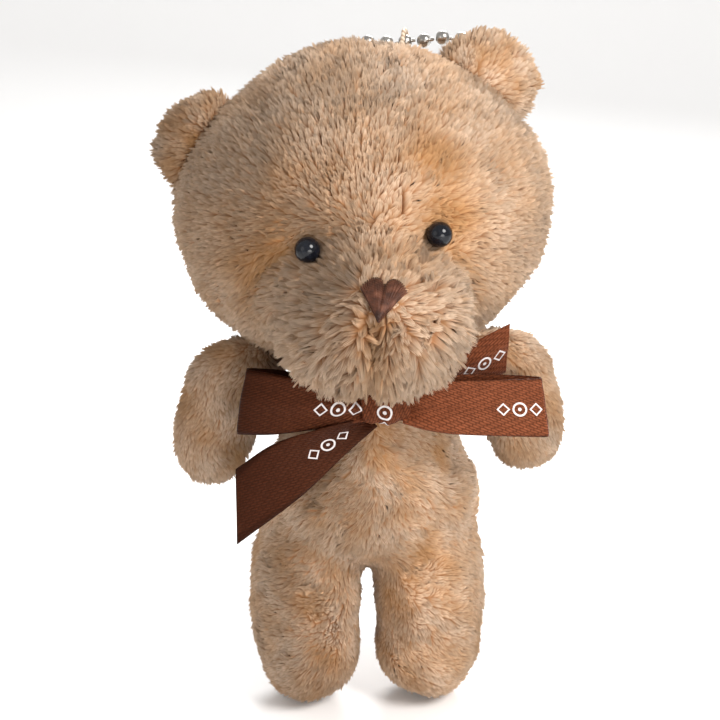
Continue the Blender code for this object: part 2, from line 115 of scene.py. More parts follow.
# Camera and light: places in metres from the object's origin, powers in watts
CAMERA_AZIMUTH = math.radians(-4.0)
CAMERA_ELEVATION = math.radians(14.0)
CAMERA_DISTANCE = 0.245
CAMERA_LENS = 74.0
AIM_FROM_NECK = Vector((-2.5, -2.0, -2.0)) * MM
WORLD_STRENGTH = 0.62
LIGHTS = (
    ("key", (0.34, -0.38, 0.46), 0.30, 4.1, (1.0, 0.98, 0.96)),
    ("fill", (-0.45, -0.40, 0.25), 0.40, 0.35, (1.0, 0.95, 0.90)),
    ("bounce", (0.20, -0.58, 0.00), 0.40, 2.6, (1.0, 0.97, 0.94)),
    ("rim", (0.10, 0.45, 0.40), 0.30, 3.0, (1.0, 1.0, 1.0)))


def centre(node):
    low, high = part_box(node)
    return (low + high) / 2


EYE_FRONT = [Vector((centre(eye).x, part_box(eye)[0].y, centre(eye).z)) for eye in ("eye_left", "eye_right")]
BODY_LOW, BODY_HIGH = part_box("body_front_panel")
NOSE = centre("nose_embroidery")
NOSE_LOW, NOSE_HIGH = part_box("nose_embroidery")
KNOT = centre("bow_knot")
TAIL = centre("bow_tail_right")
LOOP = centre("bow_loop_left")


# ---------------------------------------------------------------- meshes

def triangle_mesh(name, points, triangles):
    """A mesh from numpy arrays of points and vertex triples."""
    mesh = bpy.data.meshes.new(name)
    mesh.vertices.add(len(points))
    mesh.vertices.foreach_set("co", points.astype(np.float32).ravel())
    mesh.loops.add(triangles.size)
    mesh.loops.foreach_set("vertex_index", triangles.astype(np.int32).ravel())
    mesh.polygons.add(len(triangles))
    mesh.polygons.foreach_set("loop_start", np.arange(0, triangles.size, 3, dtype=np.int32))
    mesh.polygons.foreach_set("use_smooth", np.ones(len(triangles), bool))
    mesh.update(calc_edges=True)
    return mesh


def points_of(mesh):
    values = np.empty(len(mesh.vertices) * 3, np.float32)
    mesh.vertices.foreach_get("co", values)
    return values.reshape(-1, 3).astype(float)


def quads_of(mesh):
    values = np.empty(len(mesh.loops), np.int32)
    mesh.loops.foreach_get("vertex_index", values)
    return values.reshape(-1, 4)


def evaluated(obj):
    graph = bpy.context.evaluated_depsgraph_get()
    graph.update()
    return bpy.data.meshes.new_from_object(obj.evaluated_get(graph))


def link(name, mesh, mat=None):
    obj = bpy.data.objects.new(name, mesh)
    bpy.context.scene.collection.objects.link(obj)
    if mat is not None:
        mesh.materials.clear()
        mesh.materials.append(mat)
    return obj


def mesh_of(bm, name):
    mesh = bpy.data.meshes.new(name)
    bm.to_mesh(mesh)
    bm.free()
    return mesh


def outward(mesh):
    """Turns the faces outwards and smooths them, apart from end caps, which have more than four corners."""
    bm = bmesh.new()
    bm.from_mesh(mesh)
    bmesh.ops.recalc_face_normals(bm, faces=bm.faces)
    bm.to_mesh(mesh)
    bm.free()
    for face in mesh.polygons:
        face.use_smooth = len(face.vertices) <= 4
    return mesh


def stand_in(piece, body, node_name):
    """A visible piece takes the place of a CAD node and moves with its body."""
    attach(piece, body)
    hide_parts(node_name)


def point_layer(mesh, label, values):
    layer = mesh.attributes.new(label, "FLOAT", "POINT")
    layer.data.foreach_set("value", values.astype(np.float32))


def uv_layer(mesh, label, spots):
    layer = mesh.uv_layers.new(name=label)
    layer.data.foreach_set("uv", spots.astype(np.float32).ravel())


def with_modifiers(mesh, *steps):
    """The mesh after some modifiers, each given as (type, settings)."""
    obj = link("work", mesh)
    for kind, settings in steps:
        modifier = obj.modifiers.new(kind, kind)
        for key, value in settings.items():
            setattr(modifier, key, value)
    result = evaluated(obj)
    bpy.data.objects.remove(obj)
    return result


def under(values, limit, width):
    """1 well under the limit and 0 well over it, with a soft step of the given width between."""
    return 1 / (1 + np.exp((values - limit) / width))


def unit(vectors):
    return vectors / np.maximum(np.linalg.norm(vectors, axis=-1, keepdims=True), 1e-12)


def quad_normals(points, quads):
    """A normal for every point of a quad mesh, averaged over its faces."""
    a, b, c, d = (points[quads[:, i]] for i in range(4))
    flat = np.cross(c - a, d - b)
    total = np.zeros_like(points)
    for i in range(4):
        np.add.at(total, quads[:, i], flat)
    return unit(total)


def relaxed(points, quads, rounds, share=0.5):
    """Laplacian smoothing over the edges of a quad mesh."""
    edges = np.concatenate([quads[:, [i, (i + 1) % 4]] for i in range(4)])
    edges = np.concatenate([edges, edges[:, ::-1]])
    count = np.bincount(edges[:, 0], minlength=len(points))[:, None]
    for _ in range(rounds):
        total = np.zeros_like(points)
        np.add.at(total, edges[:, 0], points[edges[:, 1]])
        points = points + share * (total / count - points)
    return points


# ---------------------------------------------------------------- soft skins

def joined(nodes):
    """The CAD meshes of some nodes as one mesh, with the vertices that share a place merged."""
    bm = bmesh.new()
    for node in nodes:
        bm.from_mesh(frame["nodes"][node].data)
    bmesh.ops.remove_doubles(bm, verts=bm.verts, dist=0.001 * MM)
    return mesh_of(bm, "joined")


def outer_shell(mesh):
    """The tallest island of a mesh, which is the outside of the form."""
    bm = bmesh.new()
    bm.from_mesh(mesh)
    unseen = set(bm.verts)
    best, best_size = None, 0
    while unseen:
        stack = [unseen.pop()]
        island = set(stack)
        while stack:
            for edge in stack.pop().link_edges:
                for vert in edge.verts:
                    if vert in unseen:
                        unseen.remove(vert)
                        island.add(vert)
                        stack.append(vert)
        size = max(v.co.z for v in island) - min(v.co.z for v in island)
        if size > best_size:
            best, best_size = island, size
    bmesh.ops.delete(bm, geom=[v for v in bm.verts if v not in best], context="VERTS")
    return mesh_of(bm, "shell")


def panel_index(points, nodes):
    """Which of the CAD nodes lies nearest to each point."""
    best = np.full(len(points), np.inf)
    owner = np.zeros(len(points), int)
    for index, node in enumerate(nodes):
        mesh = frame["nodes"][node].data
        tree = BVHTree.FromPolygons([v.co for v in mesh.vertices], [p.vertices for p in mesh.polygons])
        distance = np.array([tree.find_nearest(p)[3] for p in points])
        closer = distance < best
        best[closer] = distance[closer]
        owner[closer] = index
    return owner


def puffed(points, quads, held):
    """Cloth pressure swells the skin between its seams; held points stay where they are."""
    mesh = bpy.data.meshes.new("cover")
    mesh.from_pydata(points * SIM_SCALE, [], quads.tolist())
    obj = link("cover", mesh)
    seams = obj.vertex_groups.new(name="seams")
    seams.add([int(i) for i in np.flatnonzero(held)], 1.0, "REPLACE")
    cloth = obj.modifiers.new("Cloth", "CLOTH")
    cloth.settings.use_pressure = True
    cloth.settings.uniform_pressure_force = SIM_PRESSURE
    cloth.settings.effector_weights.gravity = 0
    cloth.settings.vertex_group_mass = "seams"
    cloth.point_cache.frame_start = 1
    cloth.point_cache.frame_end = SIM_FRAMES
    for step in range(1, SIM_FRAMES + 1):
        bpy.context.scene.frame_set(step)
    moved = points_of(evaluated(obj)) / SIM_SCALE
    bpy.context.scene.frame_set(1)
    bpy.data.objects.remove(obj)
    change = moved - points
    length = np.linalg.norm(change, axis=1, keepdims=True)
    return points + change * np.minimum(1, PUFF_CAP / np.maximum(length, 1e-9))


def wrapped(mesh):
    """The convex hull of an open cup, which closes its foot."""
    bm = bmesh.new()
    bm.from_mesh(mesh)
    hull = bmesh.ops.convex_hull(bm, input=bm.verts)
    inside = [item for item in hull["geom_interior"] if isinstance(item, bmesh.types.BMVert)]
    bmesh.ops.delete(bm, geom=inside, context="VERTS")
    bmesh.ops.recalc_face_normals(bm, faces=bm.faces)
    return mesh_of(bm, "hull")


def soft_skin(nodes, filling, voxel, levels=2, puff=True):
    """(points, quads) of the closed skin round some panels, fine enough to carry the pile."""
    mesh = joined([*nodes, *filling])
    if not filling:
        mesh = wrapped(mesh)
    mesh = with_modifiers(
        mesh,
        ("DISPLACE", {"strength": SEAL, "mid_level": 0}),
        ("REMESH", {"mode": "VOXEL", "voxel_size": voxel}))
    mesh = outer_shell(mesh)
    points, quads = points_of(mesh), quads_of(mesh)
    points = relaxed(points, quads, 4)
    points -= quad_normals(points, quads) * (SEAL + SINK)
    if puff:
        owner = panel_index(points[quads].mean(axis=1), nodes)
        low = np.full(len(points), len(nodes))
        high = np.full(len(points), -1)
        for i in range(4):
            np.minimum.at(low, quads[:, i], owner)
            np.maximum.at(high, quads[:, i], owner)
        points = puffed(points, quads, low != high)
    mesh = bpy.data.meshes.new("coarse")
    mesh.from_pydata(points, [], quads.tolist())
    mesh = with_modifiers(mesh, ("SUBSURF", {"levels": levels, "render_levels": levels}))
    return points_of(mesh), quads_of(mesh)


# ---------------------------------------------------------------- pile

def smooth_noise(points, size, seed):
    """Smooth noise about 0, of unit height, made of seeded plane waves about size millimetres long."""
    rng = np.random.default_rng(seed)
    total = np.zeros(len(points))
    waves = 14
    for _ in range(waves):
        direction = unit(rng.normal(size=3))
        wavelength = size * MM * rng.uniform(0.6, 1.5)
        total += np.sin(points @ direction * (2 * math.pi / wavelength) + rng.uniform(0, 2 * math.pi))
    return total / math.sqrt(waves / 2)


def near(points, spot, reach):
    """1 at the spot, falling smoothly to 0 at about twice the reach (millimetres along X, Y and Z)."""
    return np.exp(-(((points - np.array(spot)) / (np.array(reach) * MM)) ** 2).sum(axis=1))


def across_axes(x, y, z):
    """Vectors from their parts, each an array or one number for all."""
    return np.stack(np.broadcast_arrays(x, y, z), axis=1)


def split_skin(base, normals, quads, rng):
    """Splits each quad in four round a point near its middle.

    Gives the points, the corners of the parts, the parts' middles, their normals and the quads' mean edge.
    """
    edge = np.linalg.norm(base[quads[:, 0]] - base[quads[:, 1]], axis=1).mean()
    middles = base[quads].mean(axis=1) + rng.normal(0, 0.10 * edge, (len(quads), 3))
    middle_index = len(base) + np.arange(len(quads))
    skin = np.concatenate([base, middles])
    skin_normals = np.concatenate([normals, unit(normals[quads].mean(axis=1))])
    corners = np.concatenate([np.stack([quads[:, i], quads[:, (i + 1) % 4], middle_index], axis=1)
                              for i in range(4)])
    return skin, corners, skin[corners].mean(axis=1), unit(skin_normals[corners].sum(axis=1)), edge


def tufted(roots, up, way, length, share, pull, rng):
    """(fibre tips, tone of each fibre's tuft): every tip is drawn towards the tip of the nearest tuft."""
    seeds = np.flatnonzero(rng.random(len(roots)) < share)
    tree = KDTree(len(seeds))
    for index, root in enumerate(roots[seeds]):
        tree.insert(root, index)
    tree.balance()
    nearest = np.array([tree.find(root)[1] for root in roots])
    turn = 0.26 * unit(rng.normal(size=(len(seeds), 3)))
    tuft_length = rng.uniform(0.8, 1.25, len(seeds))
    tone = rng.normal(0, 1, len(seeds))
    tuft_tips = roots[seeds] + unit(way[seeds] + turn) * (length[seeds] * tuft_length)[:, None]
    spread = (roots - roots[seeds][nearest]) * 0.25
    tips = (roots + way * length[:, None]) * (1 - pull) + (tuft_tips[nearest] + spread) * pull
    above = ((tips - roots) * up).sum(axis=1, keepdims=True)
    tips += up * np.maximum(0.25 * length[:, None] - above, 0) * 0.7
    return tips, tone[nearest]


def cover_back(base, normals, quads, first):
    """The cover's own thickness: (points, triangles) of an inner layer and walls along the panel's edge."""
    count = len(base)
    inner_index = first + np.arange(count)
    lining = np.concatenate([inner_index[quads[:, [0, 2, 1]]], inner_index[quads[:, [0, 3, 2]]]])
    edges = np.concatenate([quads[:, [i, (i + 1) % 4]] for i in range(4)])
    key = np.sort(edges, axis=1) @ np.array([count, 1])
    _, spot, times = np.unique(key, return_index=True, return_counts=True)
    rim = edges[spot[times == 1]]
    walls = np.concatenate([np.stack([rim[:, 1], rim[:, 0], inner_index[rim[:, 0]]], axis=1),
                            np.stack([rim[:, 1], inner_index[rim[:, 0]], inner_index[rim[:, 1]]], axis=1)])
    return base - normals * COVER_THICK, np.concatenate([lining, walls])


def grow_pile(name, points, quads, normals, keep, field, seed, mat):
    """One sewn panel with its pile: each quad of the skin is split in four, each part drawn out to a fibre.

    keep picks the panel's quads. field(roots) gives each fibre's length in millimetres, lean, comb direction,
    tuft size in millimetres, tuft pull and tint. The cover's thickness behind the pile closes the panel.
    """
    rng = np.random.default_rng(seed)
    used, flat = np.unique(quads[keep], return_inverse=True)
    quads = flat.reshape(-1, 4)
    base, normals = points[used], normals[used]
    skin, corners, roots, up, edge = split_skin(base, normals, quads, rng)

    length, lean, comb, tuft, pull, tint = field(roots)
    comb = unit(comb - (comb * up).sum(axis=1, keepdims=True) * up)
    lean = np.reshape(np.clip(lean, 0, 0.97), (-1, 1))
    stray = unit(rng.normal(size=roots.shape))
    way = unit(up * np.sqrt(1 - lean ** 2) + comb * lean + 0.12 * stray)
    length = length * MM * rng.uniform(0.75, 1.15, len(roots))
    share = np.clip((edge ** 2 / 4) / (tuft * MM) ** 2, 0, 1)
    tips, tone = tufted(roots, up, way, length, share, np.reshape(pull, (-1, 1)), rng)

    tip_index = len(skin) + np.arange(len(roots))
    sides = np.concatenate([np.stack([corners[:, i], corners[:, (i + 1) % 3], tip_index], axis=1)
                            for i in range(3)])
    inner, behind = cover_back(base, normals, quads, len(skin) + len(roots))
    everything = np.concatenate([skin, tips, inner])
    triangles = np.concatenate([sides, behind])
    mesh = triangle_mesh(name, everything, triangles)
    root_tint, times_used = np.zeros(len(skin)), np.zeros(len(skin))
    for i in range(3):
        np.add.at(root_tint, corners[:, i], tint)
        np.add.at(times_used, corners[:, i], 1)
    root_tint /= np.maximum(times_used, 1)
    nothing, hidden = np.zeros(len(skin)), np.zeros(len(inner))
    point_layer(mesh, "tip", np.concatenate([nothing, np.ones(len(roots)), hidden]))
    point_layer(mesh, "warm", np.concatenate([root_tint, tint, hidden]))
    point_layer(mesh, "shade", np.concatenate([nothing, tone + rng.normal(0, 0.5, len(roots)), hidden]))
    lay_flat(mesh, everything, triangles, up.mean(axis=0), len(sides))
    return link(name, mesh, mat)


def lay_flat(mesh, points, triangles, facing, shown):
    """A UV map that sees the panel along its facing direction; lining and walls get a corner of their own."""
    facing = unit(facing)
    sideways = unit(np.cross(facing, (0.03, 0.02, 1.0)))
    upwards = np.cross(sideways, facing)
    # a fibre's tip is laid over the middle of its own root, so the sides of one fibre never cover another
    flat_points = points.copy()
    tips = triangles[:shown, 2]
    count = shown // 3
    roots = (points[triangles[:count, 0]] + points[triangles[count:2 * count, 0]]
             + points[triangles[2 * count:shown, 0]]) / 3
    flat_points[tips[:count]] = roots
    u = flat_points @ sideways
    v = flat_points @ upwards
    u, v = ((w - w.min()) / (w.max() - w.min()) for w in (u, v))
    spots = np.stack([u, v], axis=1)[triangles.ravel()]
    pile_part, corner_part, pile_from, corner_from = 0.94, 0.03, 0.05, 0.005
    spots[:shown * 3] = spots[:shown * 3] * pile_part + pile_from
    spots[shown * 3:] = spots[shown * 3:] * corner_part + corner_from
    uv_layer(mesh, "OFBake", spots)


# ---------------------------------------------------------------- node helpers

def blank_material(name):
    mat = bpy.data.materials.new(name)
    mat.use_nodes = True
    return mat, mat.node_tree, mat.node_tree.nodes["Principled BSDF"]


def node(tree, kind, inputs=None, **settings):
    """Adds a shader node; an input is a plain value or another node's output."""
    made = tree.nodes.new(kind)
    for key, value in settings.items():
        setattr(made, key, value)
    for key, value in (inputs or {}).items():
        if isinstance(value, bpy.types.NodeSocket):
            tree.links.new(value, made.inputs[key])
        else:
            made.inputs[key].default_value = value
    return made


def math_node(tree, operation, a, b=0.0):
    return node(tree, "ShaderNodeMath", {0: a, 1: b}, operation=operation).outputs[0]


def scaled(tree, value, factor, start):
    return node(tree, "ShaderNodeMath", {0: value, 1: factor, 2: start}, operation="MULTIPLY_ADD").outputs[0]


def between(tree, value, low, high, start=0.0, end=1.0):
    """start where the value is at low, end where it is at high, and straight between them."""
    return node(tree, "ShaderNodeMapRange", {"Value": value, "From Min": low, "From Max": high,
                                             "To Min": start, "To Max": end}).outputs[0]


def position(tree):
    return node(tree, "ShaderNodeNewGeometry").outputs["Position"]


def noise(tree, scale, detail=2.0, spot=None):
    """Noise in the scene's space, or over another vector when one is given."""
    spot = position(tree) if spot is None else spot
    return node(tree, "ShaderNodeTexNoise", {"Vector": spot, "Scale": scale, "Detail": detail}).outputs["Fac"]


def waves(tree, scale, distortion):
    inputs = {"Vector": position(tree), "Scale": scale, "Distortion": distortion}
    return node(tree, "ShaderNodeTexWave", inputs, bands_direction="DIAGONAL").outputs["Fac"]


def mix(tree, factor, a, b, blend="MIX"):
    made = node(tree, "ShaderNodeMix", data_type="RGBA", blend_type=blend)
    for key, value in (("Factor_Float", factor), ("A_Color", a), ("B_Color", b)):
        socket = next(s for s in made.inputs if s.identifier == key)
        if isinstance(value, bpy.types.NodeSocket):
            tree.links.new(value, socket)
        else:
            socket.default_value = value if key == "Factor_Float" else (*value, 1)
    return next(s for s in made.outputs if s.identifier == "Result_Color")


def attribute(tree, name):
    return node(tree, "ShaderNodeAttribute", attribute_name=name).outputs["Fac"]


def bump(tree, height, distance, strength=1.0):
    inputs = {"Height": height, "Distance": distance, "Strength": strength}
    return node(tree, "ShaderNodeBump", inputs).outputs[0]


def ramp(tree, factor, stops):
    made = node(tree, "ShaderNodeValToRGB", {"Fac": factor})
    elements = made.color_ramp.elements
    while len(elements) < len(stops):
        elements.new(0.5)
    for element, (place, colour) in zip(elements, stops):
        element.position = place
        element.color = (*colour, 1)
    return made.outputs["Color"]


def plug(tree, shader, **inputs):
    for key, value in inputs.items():
        socket = shader.inputs[key.replace("_", " ")]
        if isinstance(value, bpy.types.NodeSocket):
            tree.links.new(value, socket)
        else:
            socket.default_value = value


# ---------------------------------------------------------------- materials

def halfway(first, second):
    return [(a + b) / 2 for a, b in zip(first, second)]


def pile_material(name, root, tip, warm_root, warm_tip):
    """Plush pile: darker at the root, partly its own tone and partly painted shade deep in the pile, cream at the
    tip, warmer where it is thin and where painted shade falls in the head's folds, uneven from tuft to tuft.
    """
    mat, tree, shader = blank_material(name)
    along = attribute(tree, "tip")
    # on the head this warm tint is also painted shade in the muzzle's fold and the crease below the nose
    warm = attribute(tree, "warm")
    plain = ramp(tree, along, [(0.05, root), (0.45, halfway(root, tip)), (0.85, tip)])
    ruddy = ramp(tree, along, [(0.05, warm_root), (0.85, warm_tip)])
    colour = mix(tree, warm, plain, ruddy)
    patches = noise(tree, 160.0, 3.0)
    value = scaled(tree, attribute(tree, "shade"), 0.075, scaled(tree, patches, 0.30, 0.85))
    grey = node(tree, "ShaderNodeCombineColor", {"Red": value, "Green": value, "Blue": value}).outputs[0]
    colour = mix(tree, 1.0, colour, grey, "MULTIPLY")
    gaps = between(tree, noise(tree, 620.0), 0.50, 0.34, 0.0, 0.42)
    colour = mix(tree, gaps, colour, halfway(warm_root, warm_tip))
    plug(tree, shader, Base_Color=colour, Roughness=scaled(tree, patches, 0.2, 0.62), Specular_IOR_Level=0.18,
         Sheen_Weight=0.15, Sheen_Roughness=0.5, Sheen_Tint=(1.0, 0.80, 0.62, 1))
    return mat


# ---------------------------------------------------------------- the plush

def muzzle_share(points):
    """Distance from the middle of the muzzle, as a share of its half size seen from the front."""
    aside = (points[:, 0] - NOSE.x + 1.8 * MM) / (15.2 * MM)
    return np.hypot(aside, (points[:, 2] - NOSE.z + 5.2 * MM) / (11.6 * MM))


def low_side(points):
    """1 below the top of the nose, fading to a fifth above it, where the muzzle runs into the forehead."""
    return 0.2 + 0.8 * under(points[:, 2], NOSE_HIGH.z + 0.5 * MM, 1.2 * MM)


def face_side(points):
    """1 on the front of the head, fading to 0 behind the ears."""
    return under(points[:, 1], NOSE.y + 19 * MM, 2 * MM)


def head_field(roots):
    """Pile of the head: combed away from the nose, long on the muzzle, thin and warm round the eyes, with painted
    shade in the fold round the muzzle and the crease below the nose, given as extra warm tint.
    """
    front = face_side(roots)
    muzzle = front * low_side(roots) * under(muzzle_share(roots), 1.02, 0.06)
    behind = 1 - under(roots[:, 1], NOSE.y + 33 * MM, 3 * MM)[:, None]
    down = across_axes(0.5 * smooth_noise(roots, 12, 43), 0, -1)
    comb = unit(roots - np.array(NOSE)) * (1 - behind) + down * (0.12 + behind)
    comb -= muzzle[:, None] * np.array((0, 0.2, 0.30))
    wave = smooth_noise(roots, 3.2, 41)
    comb += (0.45 * muzzle + 0.12)[:, None] * across_axes(wave, 0, -wave)
    aside = (roots[:, 0] - NOSE.x + 1.2 * MM) / (2.5 * MM)
    crease = front * (roots[:, 2] < NOSE_LOW.z) * np.exp(-aside ** 2)
    comb[:, 0] += 1.2 * crease * np.tanh(3 * aside)
    sockets = sum(near(roots, spot, (3.4, 6, 3.4)) for spot in EYE_FRONT)
    at_nose = near(roots, NOSE, (3.9, 6, 3.9))
    at_bow = near(roots, TAIL, (8, 9, 5)) + 0.7 * near(roots, LOOP, (7, 9, 6))
    length = HEAD_PILE + MUZZLE_PILE * muzzle - 0.7 * np.clip(sockets, 0, 1) - 2.3 * at_nose
    length *= 1 - 0.6 * np.clip(at_bow, 0, 1)
    lean = 0.68 - 0.02 * muzzle + 0.12 * smooth_noise(roots, 9, 42)
    tuft = 0.60 + 0.26 * muzzle
    pull = 0.74 + 0.04 * muzzle
    outer = near(roots, EYE_FRONT[0] + Vector((-4.5, 0, -4.0)) * MM, (7.5, 12, 9.5))
    outer += 0.7 * near(roots, EYE_FRONT[1] + Vector((2.5, 0, 0.5)) * MM, (5.0, 12, 5.0))
    brow = near(roots, EYE_FRONT[1] + Vector((0.3, 0, 10.0)) * MM, (4.4, 12, 6))
    cheek = near(roots, NOSE + Vector((4.5, 0, 4.0)) * MM, (4.0, 12, 3.6))
    fold = front * low_side(roots) * np.exp(-((muzzle_share(roots) - 1.14) / 0.10) ** 2)
    # painted shade: the fold round the muzzle and the crease below the nose get the darker warm tint where shade
    # falls in them
    warm = 0.26 + 0.85 * (outer + brow) + 0.5 * cheek + 0.8 * fold + 0.14 * smooth_noise(roots, 12, 5)
    warm = warm * (1 - 0.9 * muzzle) + muzzle * (0.10 + 0.45 * cheek + 0.6 * crease)
    return np.maximum(length, 0.5), lean, comb, tuft, pull, np.clip(warm, 0, 1)


def body_field(roots):
    """Pile of the body and legs: short, laid flat and matted sideways in patches."""
    middle = (BODY_LOW.x + BODY_HIGH.x) / 2
    turn = -math.pi / 2 + 1.25 * np.tanh((roots[:, 0] - middle) / (5 * MM))
    turn += 0.4 * smooth_noise(roots, 18, 11) + 0.30 * smooth_noise(roots, 4, 16)
    inner_leg = near(roots * (1, 0, 1), (middle, 0, 12 * MM), (3.2, 1, 12))
    length = BODY_PILE + 0.20 * smooth_noise(roots, 9, 12) - 0.6 * inner_leg
    lean = 0.80 + 0.05 * smooth_noise(roots, 7, 13)
    tuft = 0.58 + 0.12 * smooth_noise(roots, 10, 14)
    thin = near(roots, ((BODY_HIGH.x + middle) / 2 - 3.0 * MM, BODY_LOW.y, 27 * MM), (4, 30, 4))
    warm = np.clip(0.38 + 0.20 * smooth_noise(roots, 7, 15) + 0.4 * thin, 0, 1)
    return length, lean, across_axes(np.cos(turn), 0, np.sin(turn)), np.maximum(tuft, 0.42), 0.60, warm


def arm_field(roots):
    """Pile of the arms: short and combed down."""
    comb = across_axes(0.3 * np.sign(roots[:, 0]) + 0.5 * smooth_noise(roots, 9, 21), 0, -1)
    warm = np.clip(0.34 + 0.22 * smooth_noise(roots, 8, 22), 0, 1)
    return ARM_PILE, 0.80, comb, 0.5, 0.62, warm


def ear_field(foot):
    """Pile of an ear: combed from its foot to its rim."""
    def field(roots):
        warm = np.clip(0.50 + 0.25 * smooth_noise(roots, 6, 31), 0, 1)
        return EAR_PILE, 0.72, unit(roots - np.array(foot)), 0.55, 0.70, warm
    return field


def shape_head(points, normals):
    """Presses in the eye sockets, the fold round the muzzle and the crease from the nose to the chin."""
    moved = points.copy()
    for spot in EYE_FRONT:
        moved += np.array((0, 1.7 * MM, 0)) * near(points, spot, (4.2, 8, 4.0))[:, None]
    share = muzzle_share(points)
    fold = 2.0 * low_side(points) * np.exp(-((share - 1.12) / 0.13) ** 2)
    fold -= 1.1 * np.clip(1 - share ** 2, 0, 1)
    below = under(points[:, 2], NOSE_LOW.z, 0.8 * MM)
    aside = np.exp(-((points[:, 0] - NOSE.x + 1.2 * MM) / (1.5 * MM)) ** 2)
    moved -= normals * (MM * face_side(points) * (fold + 2.0 * below * aside))[:, None]
    jowl = near(points, NOSE + Vector((-13, 5, -9)) * MM, (6, 11, 6))
    return moved + np.array((-1.8, -0.4, -1.4)) * MM * jowl[:, None]


def shape_body(points, normals):
    """Brings the insides of the legs together until only a slit is left."""
    aside = points[:, 0] - (BODY_LOW.x + BODY_HIGH.x) / 2
    low = under(points[:, 2], 24 * MM, 1.5 * MM)
    inner = np.exp(-((np.abs(aside) - 1.5 * MM) / (3.2 * MM)) ** 2)
    moved = points.copy()
    moved[:, 0] -= np.sign(aside) * 0.75 * MM * low * inner
    return moved


def shape_arm(points, normals):
    """Fills the shoulder out towards the cheek."""
    high = points[:, 2].max()
    lift = np.exp(-((points[:, 2] - high) / (5 * MM)) ** 2)
    inner = under(np.abs(points[:, 0]), 21 * MM, 2.5 * MM)
    return points + np.array((0, 0, 3.6 * MM)) * (lift * inner)[:, None]


def scattered(points, quads, normals, seed):
    """Shifts every point a little along the skin, so that the fibres don't stand in rows."""
    edge = np.linalg.norm(points[quads[:, 0]] - points[quads[:, 1]], axis=1).mean()
    shift = np.random.default_rng(seed).normal(0, 0.16 * edge, points.shape)
    return points + shift - (shift * normals).sum(axis=1, keepdims=True) * normals


def plush(panels, filling, voxel, field, seed, mat, body, shape=None, puff=True, levels=2):
    """The furred pieces that stand for some sewn panels, one piece a panel."""
    points, quads = soft_skin(panels, filling, voxel, levels, puff)
    normals = quad_normals(points, quads)
    if shape is not None:
        points = shape(points, normals)
        normals = quad_normals(points, quads)
    points = scattered(points, quads, normals, seed)
    owner = panel_index(points[quads].mean(axis=1), panels)
    for index, panel in enumerate(panels):
        piece = grow_pile(panel + "_pile", points, quads, normals, owner == index, field, seed + index, mat)
        stand_in(piece, body, panel)


PILE = pile_material("plush_pile", ROOT, TIP, WARM_ROOT, WARM_TIP)

plush(["head_side_left", "head_side_right", "head_gusset", "head_back_panel"], ["head_stuffing"],
      HEAD_VOXEL, head_field, 100, PILE, "head", shape_head)
plush(["body_front_panel", "body_back_panel"], ["body_stuffing"],
      BODY_VOXEL, body_field, 200, PILE, "body", shape_body, levels=1)
for word in ("left", "right"):
    plush([f"arm_{word}_front", f"arm_{word}_back"], [f"arm_{word}_stuffing"],
          ARM_VOXEL, arm_field, 300, PILE, f"arm_{word}", shape_arm)
    foot = centre(f"ear_{word}_front") * 0.6 + centre("head_stuffing") * 0.4
    plush([f"ear_{word}_front", f"ear_{word}_back"], [],
          EAR_VOXEL, ear_field(foot), 400, PILE, "head", puff=False)


# ---------------------------------------------------------------- ribbon

def satin_material(name, dark, light):
    """Woven satin: short floats in rows that step sideways, a copper sheen that is partly a painted highlight in
    the colour, a dark selvedge and rings.

    It reads the ribbon's own map, in millimetres: x along the ribbon and y across it from its middle.
    """
    mat, tree, shader = blank_material(name)
    spot = node(tree, "ShaderNodeUVMap", uv_map="weave").outputs[0]
    slant = (0, 0, math.radians(-20))
    sheared = node(tree, "ShaderNodeMapping", {"Vector": spot, "Rotation": slant}).outputs[0]
    drawn = node(tree, "ShaderNodeMapping", {"Vector": sheared, "Scale": (1.1, 3.4, 1.0)}).outputs[0]
    uneven = between(tree, noise(tree, 1.0, spot=drawn), 0.3, 0.7, 0.35, 1.35)
    weave_value = math_node(tree, "MULTIPLY", thread_floats(tree, sheared), uneven)
    worn = noise(tree, 0.35, 3.0, spot)
    split = node(tree, "ShaderNodeSeparateXYZ", {"Vector": spot})
    edge = between(tree, math_node(tree, "ABSOLUTE", split.outputs["Y"]), 4.3, 4.7)
    # painted sheen: the floats are mixed from the dark satin towards the painted copper highlight, as far as the
    # piece's painted sheen values say
    painted_sheen = math_node(tree, "MULTIPLY", scaled(tree, weave_value, 0.74, 0.26), attribute(tree, "painted_sheen"))
    base = mix(tree, painted_sheen, dark, light)
    base = mix(tree, math_node(tree, "MULTIPLY", worn, 0.5), base, dark)
    base = mix(tree, math_node(tree, "MULTIPLY", edge, 0.6), base, dark)
    marks = printed_rings(tree, split)
    colour = mix(tree, math_node(tree, "MULTIPLY", marks, 0.88), base, PRINT_WHITE)
    tangent = node(tree, "ShaderNodeTangent", direction_type="UV_MAP", uv_map="weave").outputs[0]
    height = scaled(tree, marks, 0.8, weave_value)
    plug(tree, shader, Base_Color=colour, Roughness=scaled(tree, weave_value, -0.12, 0.42),
         Specular_IOR_Level=0.12, Anisotropic=0.7, Specular_Tint=(1.0, 0.55, 0.36, 1),
         Tangent=tangent, Normal=bump(tree, height, 0.07 * MM, 0.9))
    return mat


